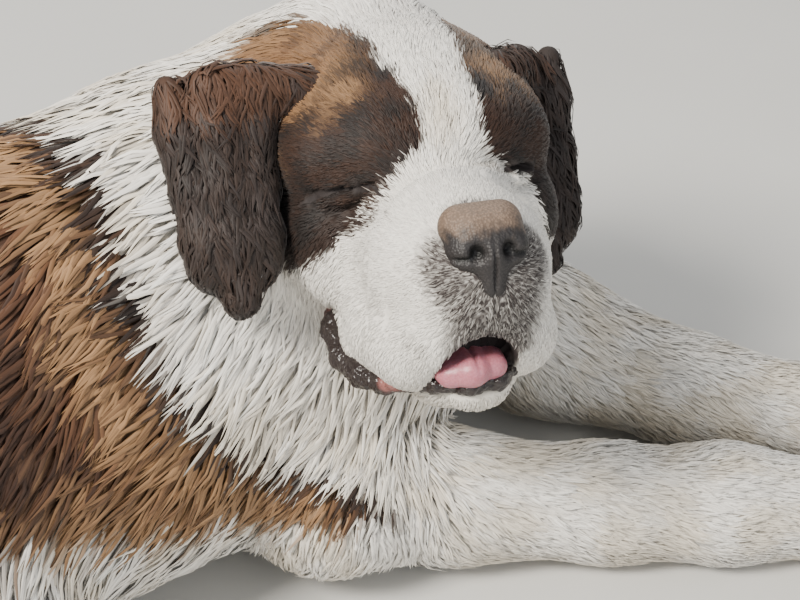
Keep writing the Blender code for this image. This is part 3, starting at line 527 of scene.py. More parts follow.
def balls_along(lengths):
    """Return one mesh of balls along tapering lengths, as places and triangles."""
    ball = bmesh.new()
    bmesh.ops.create_icosphere(ball, subdivisions=3, radius=1.0)
    ball.verts.index_update()
    corners = np.array([vertex.co[:] for vertex in ball.verts])
    faces = np.array([[vertex.index for vertex in face.verts] for face in ball.faces])
    ball.free()
    places = []
    for start, way, near, far, _ in lengths:
        steps = max(2, int(np.linalg.norm(way) / (0.3 * min(near, far))))
        for share in np.linspace(0.0, 1.0, steps + 1):
            places.append((*(start + way * share), near + (far - near) * share))
    places = np.array(places)
    points = places[:, None, :3] + places[:, None, 3:] * corners[None]
    first = np.arange(len(places))[:, None, None] * len(corners)
    return points.reshape(-1, 3), (faces[None] + first).reshape(-1, 3)


LONGEST_MOVE = 1.2


def settled(points, rounds, with_relief):
    """Move places straight onto the skin."""
    for _ in range(rounds):
        distance, outward, _ = flesh(points, with_relief)
        points = points - np.clip(distance, -LONGEST_MOVE, LONGEST_MOVE)[:, None] * outward
    return points


def finer(thing, chosen):
    """Split each edge between chosen vertices, so that the mesh is twice as fine there."""
    mesh = bmesh.new()
    mesh.from_mesh(thing.data)
    mesh.verts.ensure_lookup_table()
    edges = [edge for edge in mesh.edges if all(chosen[vertex.index] for vertex in edge.verts)]
    bmesh.ops.subdivide_edges(mesh, edges=edges, cuts=1, use_grid_fill=True)
    mesh.to_mesh(thing.data)
    mesh.free()


def set_places(thing, points):
    """Move an object's vertices to places in the dog's frame."""
    thing.data.vertices.foreach_set("co", to_row(points).ravel())
    thing.data.update()


SKIN_VOXEL = 0.6
skin = new_piece("skin", *balls_along(body_lengths + face_lengths + jaw_lengths))
remade(skin, SKIN_VOXEL)
set_places(skin, settled(places_of(skin), 3, False))
remade(skin, SKIN_VOXEL)
set_places(skin, settled(places_of(skin), 2, False))
for back in (-11.0, -6.5):
    local = to_head(places_of(skin))
    finer(skin, (local[:, 0] > back) & (local[:, 2] > -17.0) & (abs(local[:, 1]) < 10.0))
    points = places_of(skin)
    near_face = to_head(points)[:, 0] > back - 1.0
    points[near_face] = settled(points[near_face], 3, True)
    set_places(skin, points)
points = places_of(skin)
SKIN_OFF_FLOOR = 0.3
points[:, 2] = np.maximum(points[:, 2], SKIN_OFF_FLOOR)
set_places(skin, points)
skin.data.shade_smooth()


# ---- Markings ----
# White blaze, muzzle, collar, chest, legs and tail tip; near-black patches round both eyes,
# golden above them; dark ears with a painted grey sheen; a red-brown mantle with black tips, a painted
# highlight along the shoulder ridge near its edge and a painted shadow line in the crease at its edge.
def waves(points, size, seed):
    """Return smooth noise between about -1 and 1 with features of a size."""
    chance = np.random.default_rng(seed)
    total = np.zeros(len(points))
    for _ in range(7):
        way = chance.normal(size=3)
        way *= 2 * math.pi / size / np.linalg.norm(way) * chance.uniform(0.6, 1.6)
        total += np.sin(points @ way + chance.uniform(0, 2 * math.pi))
    return total / 3.0


def step(value, width):
    """Return 0 to 1 as a value goes from below zero to above it, over a width."""
    share = np.clip(value / width + 0.5, 0.0, 1.0)
    return share * share * (3 - 2 * share)


WHITE, CREAM, TAN, RUST = shade("#FAF5EC"), shade("#E2D3B8"), shade("#A27D57"), shade("#6F4629")
MAHOGANY, BLACK, SMOKE_AND_SHEEN, EAR_BROWN = shade("#3A2213"), shade("#1C1512"), shade("#38302E"), shade("#2E211A")


def mixed(first, second, share):
    """Return a colour between two for each place."""
    return first * (1 - share[:, None]) + second * share[:, None]


def ear_markings(points):
    """Return the ears' colours: dark brown with a painted grey sheen, tan where they join the skull."""
    streak = waves(points, 2.6, 3)
    colour = mixed(np.broadcast_to(EAR_BROWN, points.shape), BLACK, step(streak, 1.6) * 0.8)
    # Grey patches over the dark ear hair: a painted sheen of light on the hair.
    colour = mixed(colour, SMOKE_AND_SHEEN, step(waves(points, 2.2, 9) - 0.4, 1.6) * 0.6)
    base = step(to_head(points)[:, 2] - 5.0 + streak * 0.9, 2.5)
    return mixed(colour, RUST, base * 0.4)


def head_markings(points, wobble, streak):
    """Return the colours of the head: blaze, patches, muzzle, mask and cheeks."""
    x, y, z = to_head(points).T
    aside = abs(y)
    sharp = wobble * 0.45
    low = np.interp(x, [-18, -13, -7.5, -3.9, -0.7, 1.4], [-11, -4.6, -3.0, -2.1, -0.8, -1.6])
    high = np.interp(x, [-18, -13, -7.1, -3.9, -0.6, 1.8], [11, 4.6, 2.8, 3.3, 2.8, 2.4])
    blaze = step(np.minimum(y - low, high - y) + sharp, 0.5)
    right_edge = np.interp(aside, [1.4, 3.4, 5.1, 7.3, 9.7, 12], [-0.2, -1.6, -3.5, -5.9, -7.2, -7.6])
    left_edge = np.interp(aside, [2.2, 5.0, 6.8, 7.8, 9.7], [-0.6, -1.8, -2.9, -6.6, -7.4])
    patch = step(np.minimum(z - np.where(y < 0, right_edge, left_edge), 1.3 - x) + sharp, 0.5)
    patch = patch * step(x + 14.5 + wobble, 2.0) * step(10.9 - aside, 0.8)
    brown = mixed(np.broadcast_to(BLACK, points.shape), MAHOGANY, step(streak + 0.3, 1.6) * 0.7)
    top = step(z - 3.4 + 0.3 * (aside - 6.0) + streak * 0.8, 3.0) * step(aside - 3.6, 3.0)
    brown = mixed(brown, TAN, top * (0.3 + 0.4 * step(streak, 1.5)))
    back_brow = step(-6.5 - x + streak, 4.0) * step(6.0 - z, 5.0)
    brown = mixed(brown, RUST, back_brow * 0.55)
    local = np.column_stack((x, aside, z))
    rust = near_path(local, [(-4.6, 10.2, 2.5, 0.5), (-4.4, 10.0, -4.4, 0.6)]) + wobble * 0.3
    brown = mixed(brown, TAN, step(-rust, 1.2) * 0.7)
    pouch = step(1.2 - abs(z + 4.5) * 0.4 - abs(x + 3.5) * 0.25, 1.4)
    brown = mixed(brown, BLACK, pouch * 0.5)
    face = mixed(np.broadcast_to(WHITE, points.shape), brown, patch * (1 - blaze))
    here = np.column_stack((x, y, z))
    cream = near_path(here, [(0.6, 0.3, 1.2, 1.0), (-1.4, 0.8, 3.6, 0.8)]) + wobble * 0.5
    face = mixed(face, CREAM, step(-cream, 2.2) * 0.7 * blaze)
    mask = near_path(here, [(9.6, -2.5, -4.4, 1.9), (10.2, -0.2, -6.8, 3.3), (9.6, 2.1, -4.5, 1.9)])
    mask = np.minimum(mask, near_path(here, [(10.2, -0.2, -6.8, 3.3), (9.8, -0.2, -9.4, 2.8)]))
    mask = np.minimum(mask, near_path(here, [(7.6, -1.2, -1.6, 0.7), (7.6, 0.8, -1.6, 0.7)]))
    grizzle = 0.9 + 0.3 * waves(points, 0.35, 12)
    face = mixed(face, SMOKE_AND_SHEEN, step(-(mask + wobble * 0.45), 1.6) * np.clip(grizzle, 0.4, 1.0))
    spot = near_path(here, [(7.6, -4.4, -9.3, 0.35), (8.2, -3.8, -10.0, 0.5)]) + wobble * 0.2
    face = mixed(face, SMOKE_AND_SHEEN, step(-spot, 0.6) * 0.7)
    return mixed(face, CREAM, step(-13.5 - z + wobble * 1.5, 4.0) * 0.35)


def markings(points):
    """Return the coat's linear colour at places in the dog's frame."""
    wobble = waves(points, 5.0, 1) * 0.5 + waves(points, 1.6, 2) * 0.25
    streak = waves(points, 3.5, 3) + 0.5 * waves(points, 1.3, 4)
    x, y, z = points.T
    along = (x - 13.0) * 0.76 + (y - 13.5) * 0.65
    heights = [5, 13.2, 17.4, 22, 27.6, 32, 35.5, 40]
    collar = np.interp(z, heights, [-1, -7.6, -11.2, -15.2, -17.0, -16.4, -14.6, -12.0])
    behind = collar - along + wobble * 0.7
    mantle = mixed(np.broadcast_to(MAHOGANY, points.shape), RUST, step(streak, 1.6) * 0.8)
    saddle = step(behind - 9.0 + streak * 2.0, 8.0) * step(z - 22 + streak * 3, 10.0)
    mantle = mixed(mantle, BLACK, saddle * 0.6)
    flank = step(21.0 - z + 0.12 * (behind - 12) + streak * 2.0, 7.0) * step(behind - 7.0, 5.0)
    mantle = mixed(mantle, TAN, flank * 0.75)
    # A tan band along the shoulder ridge a little behind the mantle's edge: a painted highlight of sunlit
    # fur.
    shoulder_ridge_highlight = np.exp(-((behind - 4.3 + streak * 0.3) / 1.9) ** 2)
    mantle = mixed(mantle, TAN, np.clip(shoulder_ridge_highlight * 1.3, 0, 1) * (0.7 + 0.2 * step(streak, 1.5)))
    # A dark line just inside the mantle's front edge: painted shade in the crease behind the shoulder and
    # upper arm.
    mantle = mixed(mantle, BLACK, np.exp(-((behind - 0.6) / 1.5) ** 2) * 0.85)
    mantle = mixed(mantle, BLACK, step(z - 37.0 + streak * 0.5, 1.5) * 0.85)
    low = np.interp(along, [-60, -28, -20, -8], [15, 18.5, 15.5, 10.5])
    creamy = step(waves(points, 6.0, 5) + 0.5 * streak, 2.0) * 0.6
    pale = mixed(np.broadcast_to(WHITE, points.shape), CREAM, creamy)
    under = step(low - z + wobble * 1.5, 1.6) * step(60.0 + along, 4.0)
    for centre in ((-6.0, -18.0, 12.0, 9.5), (-24.0, 1.0, 12.0, 9.5)):
        under = np.maximum(under, step(-(near_path(points, [centre, (*centre[:2], 6.0, 9.5)]) + wobble), 1.6))
    for hock in ((-22.2, -36.4, 4.0, 6.0), (-43.4, -15.2, 4.0, 6.0)):
        under = np.maximum(under, step(-(near_path(points, [hock, (*hock[:2], 2.0, 6.0)]) + wobble), 1.6))
    tail = step(-(near_path(points, [(-35, -28, 8, 9), (-62, -50, 4, 8)]) + wobble), 2.0)
    body = mixed(pale, mantle, step(behind, 0.9) * (1 - under * (1 - tail)))
    tail_tip = near_path(points, [(-70, -53, 4, 8), (-80, -54, 2, 8)]) + wobble
    body = mixed(body, WHITE, step(-tail_tip, 2.0))
    from_middle = to_head(points) - np.array((-4.0, 0.0, -3.0))
    from_middle[:, 0] = np.minimum(from_middle[:, 0], 0.0)
    on_head = step(15.6 - np.linalg.norm(from_middle, axis=1), 2.5)
    return mixed(body, head_markings(points, wobble, streak), on_head)


def set_colours(thing, colours):
    """Keep a linear colour at each vertex, which the fur and skin materials read."""
    layer = thing.data.color_attributes.new("markings", "FLOAT_COLOR", "POINT")
    opaque = np.column_stack((colours, np.ones(len(colours))))
    layer.data.foreach_set("color", opaque.ravel().astype(np.float32))


points = places_of(skin)
local = to_head(points)
skin_colour = markings(points)
from_mouth = soft_union(points, mouth_lengths, FACE_BLEND)[0]
lips = step(0.30 - from_mouth, 0.4) * (local[:, 0] > -7.0) * step(local[:, 2] + 13.6, 0.8)
LIP_DARK, GUM = shade("#2B2423"), shade("#8C5A55")
# The skin under the tufts is a little darker than the coat: painted shade between the tufts.
SKIN_SHADE_UNDER_HAIR = 0.95
skin_colour = mixed(skin_colour * SKIN_SHADE_UNDER_HAIR, LIP_DARK, lips)
lids = step(0.16 - eye_slit(local), 0.16) * (local[:, 0] > -6.0)
skin_colour = mixed(skin_colour, LIP_DARK, lids)
set_colours(skin, skin_colour)

def add_bump(material, shader, height, strength, depth, invert=False):
    """Raise a material's surface by another node's output, to a depth in metres."""
    bump = add_node(material, "ShaderNodeBump", {"invert": invert},
                    {"Strength": strength, "Distance": depth}, {"Height": height})
    feed(material, shader, "Normal", bump, "Normal")


# Short hair lying flat over skin: a fine streaked bump of hairs about 1 mm apart, matt.
hide, hide_shader = new_material("short_hair_over_skin")
hide_colour = add_node(hide, "ShaderNodeAttribute", {"attribute_name": "markings"})
HAIR_SPACING_MM = 1.0
hide_grain = add_grain(hide, 1000 / HAIR_SPACING_MM / 2, 3.0)
hide_tone = add_node(hide, "ShaderNodeMix", {"data_type": "RGBA", "blend_type": "MULTIPLY"},
                     {"Factor": 0.2}, {"A": (hide_colour, "Color"), "B": (hide_grain, "Fac")})
feed(hide, hide_shader, "Base Color", hide_tone, "Result")
add_bump(hide, hide_shader, (hide_grain, "Fac"), 0.5, 0.0008)
hide_shader.inputs["Roughness"].default_value = 0.8
skin.data.materials.append(hide)
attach(skin, "root")
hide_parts("head", "neck", "torso", "tail", "lower_jaw",
            *[f"{limb}_{side}" for limb in ("foreleg", "forepaw", "hindleg", "hindpaw")
              for side in ("right", "left")])


# ---- Ears ----
# The ears are hanging flaps of thin skin and gristle that fold down from the skull beside the
# eyes. Each is a piece of its own, as it is too thin for the body's voxels, and bears long hair.
def ear_field(points):
    """Return the distance to the ears at places in the dog's frame, the way out and the hair's traits."""
    return soft_union(points, ear_lengths, EAR_BLEND)


EAR_VOXEL, EAR_BLEND = 0.3, 0.5
ears = {}
for side in ("right", "left"):
    ear_rows_here = {name: row for name, row in ear_rows.items() if side in name}
    ear = new_piece(f"ear_{side}_leather", *balls_along(joined_lengths(ear_rows_here, True)))
    remade(ear, EAR_VOXEL)
    points = places_of(ear)
    for _ in range(3):
        distance, outward, _ = ear_field(points)
        points = points - distance[:, None] * outward
    set_places(ear, points)
    ear.data.shade_smooth()
    # The ear leather under its hair is darker than the hair: painted shade between the tufts.
    set_colours(ear, ear_markings(points) * 0.8)
    ear.data.materials.append(hide)
    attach(ear, "root")
    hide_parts(f"ear_{side}")
    ears[side] = ear


# ---- Coat ----
# A saint bernard's coat is long and dense on the neck, trunk and tail, and short on the face and
# legs. It is made of solid tufts, each a thin tapering blade with a ridge, rooted in the skin and
# laid along it, and each clump of tufts leans toward one of them.
row_lengths = {}
for rows, on_head in ((body_rows, False), (face_rows, True), (jaw_rows, True), (ear_rows, True)):
    for name, row in rows.items():
        row_lengths[name] = joined_lengths({name: row}, on_head)
row_names = list(row_lengths)


def unwrapped(points):
    """Return the number of the row nearest to each place, and where it lies along and round that row."""
    best = np.full(len(points), np.inf)
    chosen = np.zeros(len(points), dtype=int)
    unwrap = np.zeros((len(points), 2))
    for number, lengths in enumerate(row_lengths.values()):
        whole = sum(np.linalg.norm(way) for _, way, _, _, _ in lengths)
        passed = 0.0
        for start, way, near, far, _ in lengths:
            length = np.linalg.norm(way)
            offset = points - start
            share = np.clip(offset @ way / length ** 2, 0.0, 1.0)
            offset = offset - share[:, None] * way
            distance = np.linalg.norm(offset, axis=1) - near - (far - near) * share
            closer = distance < best
            aside = np.cross(way, (0.0, 0.0, 1.0) if abs(way[2]) < 0.9 * length else (1.0, 0.0, 0.0))
            aside /= np.linalg.norm(aside)
            above = np.cross(aside, way) / length
            unwrap[closer, 0] = ((passed + share * length) / whole)[closer]
            unwrap[closer, 1] = (np.arctan2(offset @ aside, offset @ above) / (2 * math.pi) + 0.5)[closer]
            best[closer] = distance[closer]
            chosen[closer] = number
            passed += length
    return chosen, unwrap


def ground_of(thing):
    """Return a skin's triangles, their middles, their rows' regions and how thick the coat on each is."""
    thing.data.calc_loop_triangles()
    corners = np.empty(len(thing.data.loop_triangles) * 3, dtype=np.int32)
    thing.data.loop_triangles.foreach_get("vertices", corners)
    sides = places_of(thing)[corners.reshape(-1, 3)]
    middles = sides.mean(axis=1)
    across = np.cross(sides[:, 1] - sides[:, 0], sides[:, 2] - sides[:, 0])
    areas = np.linalg.norm(across, axis=1) / 2
    regions = np.array([region_of(name) for name in row_names])[unwrapped(middles)[0]]
    weights = areas * np.array([HAIR[region][7] for region in regions])
    to_front = CAMERA_PLACE - middles
    facing = (across * to_front).sum(axis=1) > -0.1 * areas * np.linalg.norm(to_front, axis=1)
    weights *= np.where(facing, 1.0, 0.5) * np.where(middles[:, 0] > -14.0, 1.0, 0.7)
    return sides, middles, regions, weights


def rooted(ground, chosen, count, chance):
    """Return random places on chosen triangles of a skin, denser where the coat is."""
    sides, _, _, weights = ground
    picks = chosen[chance.choice(len(chosen), count, p=weights[chosen] / weights[chosen].sum())]
    first, second = chance.random((2, count, 1))
    fold = first + second > 1.0
    first, second = np.where(fold, 1.0 - first, first), np.where(fold, 1.0 - second, second)
    corner = sides[picks]
    return corner[:, 0] + first * (corner[:, 1] - corner[:, 0]) + second * (corner[:, 2] - corner[:, 0])


LIP_PATH = [
    (-6.0, -6.3, -10.6, 0.30), (-4.9, -6.8, -12.2, 0.60), (-3.0, -6.6, -13.7, 0.80), (-0.8, -5.9, -14.3, 0.8),
    (1.6, -4.9, -14.3, 0.62), (4.0, -3.9, -13.6, 0.5), (6.4, -2.9, -13.1, 0.5), (7.8, -1.2, -13.0, 0.55),
    (7.8, 0.7, -12.9, 0.55), (5.4, 2.8, -12.8, 0.5), (1.0, 4.4, -12.9, 0.6), (-3.0, 5.9, -12.0, 0.6),
    (-5.4, 6.3, -11.0, 0.4),
]


def bare(points):
    """Tell which places carry no tufts: the mouth, the lids' rims, the lip and under the nose leather."""
    local = to_head(points)
    mouth = soft_union(points, mouth_lengths, FACE_BLEND)[0] < 0.25
    mouth &= (local[:, 0] > -6.5) & (local[:, 2] > -13.2)
    lids = (eye_slit(local) < 0.12) & (local[:, 0] > -6.0) & (abs(local[:, 1]) < 8.5)
    leather = near_path(local, [(8.8, -1.5, -3.3, 1.3), (8.8, 1.1, -3.3, 1.3)]) < 0.0
    leather |= near_path(local, [(9.4, -0.2, -4.0, 1.2), (9.4, -0.2, -5.4, 0.8)]) < 0.0
    return mouth | lids | leather | (near_path(local, LIP_PATH) < 0.1) | (points[:, 2] < 0.35)


def turned(vectors, axes, angles):
    """Turn vectors about unit axes square to them."""
    return vectors * np.cos(angles)[:, None] + np.cross(axes, vectors) * np.sin(angles)[:, None]


def unit(vectors):
    """Return vectors at a length of one."""
    return vectors / (np.linalg.norm(vectors, axis=-1)[..., None] + 1e-9)


def gathered(centres, shares, clump):
    """Draw tufts toward the nearest leader, one tuft in each clump, and more so toward their tips."""
    leaders = np.arange(0, centres.shape[1], clump)
    tree = KDTree(len(leaders))
    for number, leader in enumerate(leaders):
        tree.insert(centres[-2, leader], number)
    tree.balance()
    own = leaders[[tree.find(place)[1] for place in centres[-2]]]
    return centres + (centres[:, own] - centres) * (CLUMPING * shares[:, None, None] ** 1.4)


def tuft_triangles(rings, count):
    """Return the triangles of all tufts, each a root, rings of three corners and a tip."""
    each = 3 * rings + 2
    shape = [(0, 2, 1), (0, 3, 2), (0, 1, 3)]
    for a in range(1, 3 * rings - 2, 3):
        for one, two in ((0, 1), (1, 2), (2, 0)):
            shape += [(a + one, a + two, a + 3 + two), (a + one, a + 3 + two, a + 3 + one)]
    last = each - 4
    shape += [(last, last + 1, each - 1), (last + 1, last + 2, each - 1), (last + 2, last, each - 1)]
    return (np.array(shape)[None, :, ::-1] + np.arange(count)[:, None, None] * each).reshape(-1, 3)


def add_uv_map(piece, name, spots, triangles):
    """Give a piece a UV map from a spot for each of its vertices."""
    layer = piece.data.uv_layers.new(name=name)
    layer.data.foreach_set("uv", spots.reshape(-1, 2)[triangles.ravel()].ravel().astype(np.float32))


ROOT_DEPTH, CLUMPING, RIDGE_SHARE, TIPS_OFF_FLOOR = 0.1, 0.6, 0.5, 0.18


def coat_piece(name, ground, chosen, count, rings, seed, clump, field=flesh, colour=markings):
    """Make one piece of coat from tufts, each a root, a number of rings of three corners and a tip."""
    chance = np.random.default_rng(seed)
    roots = rooted(ground, chosen, count, chance)
    roots = roots[~bare(roots)]
    count = len(roots)
    _, outward, traits = field(roots)
    outward = unit(outward)
    lie = unit(traits[:, :3] - outward * (traits[:, :3] * outward).sum(axis=1)[:, None])
    long, wide, stand, curl = traits[:, 3:].T
    wide = wide * 1.0
    swirl = waves(roots, 9.0, seed + 50) * 0.2 + waves(roots, 3.0, seed + 51) * 0.12
    lie = turned(lie, outward, swirl + chance.normal(0, 0.13, count))
    local = to_head(roots)
    to_eyes = [np.linalg.norm(local - np.array(eye), axis=1) for eye in EYE.values()]
    fine = np.minimum(1.0, 0.35 + 0.12 * np.min(to_eyes, axis=0))
    long = long * chance.uniform(0.7, 1.25, count) * fine
    stand = stand * chance.uniform(0.3, 1.3, count) * fine
    wide = wide * chance.uniform(0.65, 1.25, count)
    shares = np.concatenate(([0.0], (np.arange(rings) + 0.8) / (rings + 0.8), [1.0]))
    phase = chance.uniform(0, 2 * math.pi, count)
    centres, sides, ups = [roots - outward * ROOT_DEPTH], [np.cross(outward, lie)], [outward]
    spots, ways = roots, lie
    for share, before in zip(shares[1:], shares):
        spots = spots + ways * (long * (share - before))[:, None]
        distance, outward, _ = field(spots)
        outward = unit(outward)
        lift = stand * math.sin(min(1.0, share * 1.3) * math.pi / 2)
        spots = spots + np.clip(lift - distance, -0.5 * long, 0.5 * long)[:, None] * outward
        ways = unit(ways - outward * (ways * outward).sum(axis=1)[:, None])
        ways = turned(ways, outward, np.sin(share * 5.0 + phase) * curl * 0.6 * (share - before) * 2)
        centres.append(spots)
        sides.append(np.cross(outward, ways))
        ups.append(outward)
    centres, sides, ups = np.array(centres), np.array(sides), np.array(ups)
    centres = gathered(centres, shares, clump)
    centres[:, :, 2] = np.maximum(centres[:, :, 2], TIPS_OFF_FLOOR)
    corners, normals, ring_share, patch_side = [centres[0]], [ups[0]], [0.0], [0.5]
    for ring in range(1, rings + 1):
        half = (wide / 2 * (1.0 - 0.55 * max(0.0, shares[ring] - 0.4)))[:, None]
        for across, ridge in ((-1.0, 0.0), (0.0, RIDGE_SHARE), (1.0, 0.0)):
            corners.append(centres[ring] + sides[ring] * half * across + ups[ring] * half * ridge)
            normals.append(unit(ups[ring] + sides[ring] * across * 0.55))
            ring_share.append(shares[ring])
            patch_side.append(0.5 + 0.5 * across)
    corners.append(centres[-1])
    normals.append(unit(ups[-1] + unit(centres[-1] - centres[-2]) * 0.3))
    ring_share, patch_side = np.array(ring_share + [1.0]), np.array(patch_side + [0.5])
    corners, normals = np.stack(corners, axis=1), np.stack(normals, axis=1)
    triangles = tuft_triangles(rings, count)
    piece = new_piece(name, corners.reshape(-1, 3), triangles)
    piece.data.normals_split_custom_set_from_vertices(normals.reshape(-1, 3).astype(np.float32))

    # Each tuft has a random tone and grows darker toward its root: painted shade deep in the coat.
    tone = chance.uniform(0.8, 1.1, count)[:, None, None] * (0.88 + 0.16 * ring_share)[None, :, None]
    colours = colour(roots + chance.normal(0, 0.15, roots.shape))
    set_colours(piece, np.clip(colours[:, None] * tone, 0, 1).reshape(-1, 3))
    row, unwrap = unwrapped(roots)
    tiles = math.ceil(math.sqrt(len(row_names)))
    spot = (np.column_stack((row % tiles, row // tiles)) + 0.03 + unwrap * 0.94) / tiles
    uv = spot[:, None] + np.column_stack((patch_side, ring_share))[None] * 0.003
    add_uv_map(piece, "OFBake", uv, triangles)
    strand = np.stack((np.tile(patch_side, (count, 1)) + chance.integers(0, 900, (count, 1)),
                       np.tile(ring_share, (count, 1))), axis=2)
    add_uv_map(piece, "strand", strand, triangles)
    piece.data.materials.append(fur)
    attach(piece, "root")


# Dog hair: soft and matt with a little gloss along its length; each tuft shows its strands.
fur, fur_shader = new_material("dog_hair")
fur_colour = add_node(fur, "ShaderNodeAttribute", {"attribute_name": "markings"})
fur_strand = add_node(fur, "ShaderNodeUVMap", {"uv_map": "strand"})
STRANDS_PER_TUFT, CHANGES_ALONG = 7.0, 1.2
fur_stretch = add_node(fur, "ShaderNodeVectorMath", {"operation": "MULTIPLY"},
                       {1: (STRANDS_PER_TUFT, CHANGES_ALONG, 1.0)}, {0: (fur_strand, "UV")})
fur_streak = add_node(fur, "ShaderNodeTexNoise", values={"Scale": 1.0, "Detail": 1.0},
                      links={"Vector": (fur_stretch, "Vector")})
fur_range = add_node(fur, "ShaderNodeMapRange",
                     values={"From Min": 0.3, "From Max": 0.7, "To Min": 0.80, "To Max": 1.10},
                     links={"Value": (fur_streak, "Fac")})
fur_tone = add_node(fur, "ShaderNodeVectorMath", {"operation": "SCALE"},
                    links={"Vector": (fur_colour, "Color"), "Scale": (fur_range, "Result")})
feed(fur, fur_shader, "Base Color", fur_tone, "Vector")
fur_shader.inputs["Roughness"].default_value = 0.6
fur_shader.inputs["Specular IOR Level"].default_value = 0.3
fur_shader.inputs["Sheen Weight"].default_value = 0.12
fur_shader.inputs["Sheen Roughness"].default_value = 0.5

ground = ground_of(skin)
_, middles, regions, _ = ground
everywhere = np.ones(len(middles), dtype=bool)
rear, left = middles[:, 0] <= -12, middles[:, 1] >= 9.2
FACE = ("brow", "bridge", "pouch", "whisker", "flew", "jaw")
FORELEG = ("arm", "forearm", "foretoe")
HINDLEG = ("thigh", "shank", "hindfoot", "hindtoe")
# Name, regions and part of them, tufts, rings in a tuft, seed, slot and tufts in a clump.
for name, parts, where, count, rings, seed, slot_name, clump in (
    ("muzzle_coat", FACE, everywhere, 31500, 1, 11, "white_coat", 4),
    ("skull_coat", ("crown", "temple", "cheek"), everywhere, 30000, 1, 12, "white_coat", 6),
    ("ruff", ("neck",), everywhere, 16000, 2, 15, "white_coat", 10),
    ("mantle_front", ("back", "keel"), ~rear, 16000, 2, 16, "red_coat", 10),
    ("mantle_rear", ("back", "keel"), rear, 9500, 2, 17, "red_coat", 10),
    ("foreleg_coat_right", FORELEG, ~left, 24000, 1, 18, "white_coat", 6),
    ("foreleg_coat_left", FORELEG, left, 20000, 1, 19, "white_coat", 6),
    ("hindleg_coat", HINDLEG, everywhere, 9500, 2, 20, "red_coat", 10),
    ("tail_coat", ("tail",), everywhere, 4500, 2, 21, "red_coat", 10),
):
    chosen = np.nonzero(np.isin(regions, parts) & where)[0]
    coat_piece(name, ground, chosen, count, rings, seed, clump)
for side, count, seed in (("right", 8000, 13), ("left", 4000, 14)):
    ground = ground_of(ears[side])
    chosen = np.arange(len(ground[1]))
    coat_piece(f"ear_coat_{side}", ground, chosen, count, 3, seed, 8, ear_field, ear_markings)


# ---- Nose ----
# The nose leather is damp bare skin with small pebbles on a broad rounded pad, with two round
# nostrils, their side slits and a groove. It is a smooth form set on the end of the muzzle.
def feature(name, rows, voxel, width, hollows=(), rounds=3):
    """Return a closed smooth form from head rows with hollows, settled on its smooth union."""
    lengths = []
    for row in rows:
        for near, far in zip(row, row[1:]):
            start, end = from_head([near[:3]])[0], from_head([far[:3]])[0]
            lengths.append((start, end - start, near[3], far[3], np.zeros(7)))
    thing = new_piece(name, *balls_along(lengths))
    remade(thing, voxel)
    points = places_of(thing)
    for _ in range(rounds):
        distance, outward, _ = soft_union(points, lengths, width)
        local = to_head(points)
        sink = sum(depth * np.exp(-(((local - np.array(place)) / np.array(size)) ** 2).sum(axis=1))
                   for place, size, depth in hollows)
        points = points - (distance + sink)[:, None] * outward
    set_places(thing, points)
    thing.data.shade_smooth()
    return thing


def pebbled(material, shader, per_metre, strength, depth):
    """Raise pebbles of real size and depth on a material, and return the node of their pattern."""
    place = add_node(material, "ShaderNodeTexCoord")
    pebbles = add_node(material, "ShaderNodeTexVoronoi", values={"Scale": per_metre},
                       links={"Vector": (place, "Object")})
    add_bump(material, shader, (pebbles, "Distance"), strength, depth, invert=True)
    return pebbles


nose = feature("nose", [
    [(8.3, -1.45, -2.7, 1.35), (8.3, 1.05, -2.7, 1.35)],
    [(9.3, -0.95, -2.9, 1.25), (9.3, 0.55, -2.9, 1.25)],
    [(9.6, -1.50, -3.9, 1.25), (9.6, 1.10, -3.9, 1.25)],
    [(10.0, -0.2, -4.2, 1.2), (10.1, -0.2, -6.0, 0.9)],
], 0.09, 0.3, [
    ((11.0, -1.2, -3.8), (1.1, 0.42, 0.45), 0.9), ((11.0, 0.8, -3.8), (1.1, 0.42, 0.45), 0.9),
    ((10.6, -2.1, -4.2), (1.0, 0.6, 0.2), 0.4), ((10.6, 1.7, -4.2), (1.0, 0.6, 0.2), 0.4),
    ((11.2, -0.2, -5.2), (1.0, 0.12, 1.6), 0.3),
])
# Damp nose leather: half gloss over pebbles, with painted shade that darkens the furrows between them.
leather, leather_shader = new_material("damp_nose_leather")
NOSE_PEBBLE_MM = 1.6
leather_cells = pebbled(leather, leather_shader, 1000 / NOSE_PEBBLE_MM, 0.7, 0.0006)
leather_colour = add_node(leather, "ShaderNodeAttribute", {"attribute_name": "markings"})
# Darker toward the furrows between the pebbles: painted shade.
leather_furrow_shade = add_node(leather, "ShaderNodeMapRange", values={"From Max": 0.6, "To Min": 1.1, "To Max": 0.6},
                        links={"Value": (leather_cells, "Distance")})
leather_mix = add_node(leather, "ShaderNodeVectorMath", {"operation": "SCALE"},
                       links={"Vector": (leather_colour, "Color"), "Scale": (leather_furrow_shade, "Result")})
feed(leather, leather_shader, "Base Color", leather_mix, "Vector")
leather_shader.inputs["Roughness"].default_value = 0.55
local = to_head(places_of(nose))
NOSE_FRONT, NOSE_TOP = shade("#2E2A2A"), shade("#86705F")
nose_colour = mixed(np.broadcast_to(NOSE_FRONT, local.shape), NOSE_TOP,
                    step(local[:, 2] + 2.7 - 0.25 * (local[:, 0] - 9.5) + waves(local, 0.8, 30) * 0.25, 1.4))
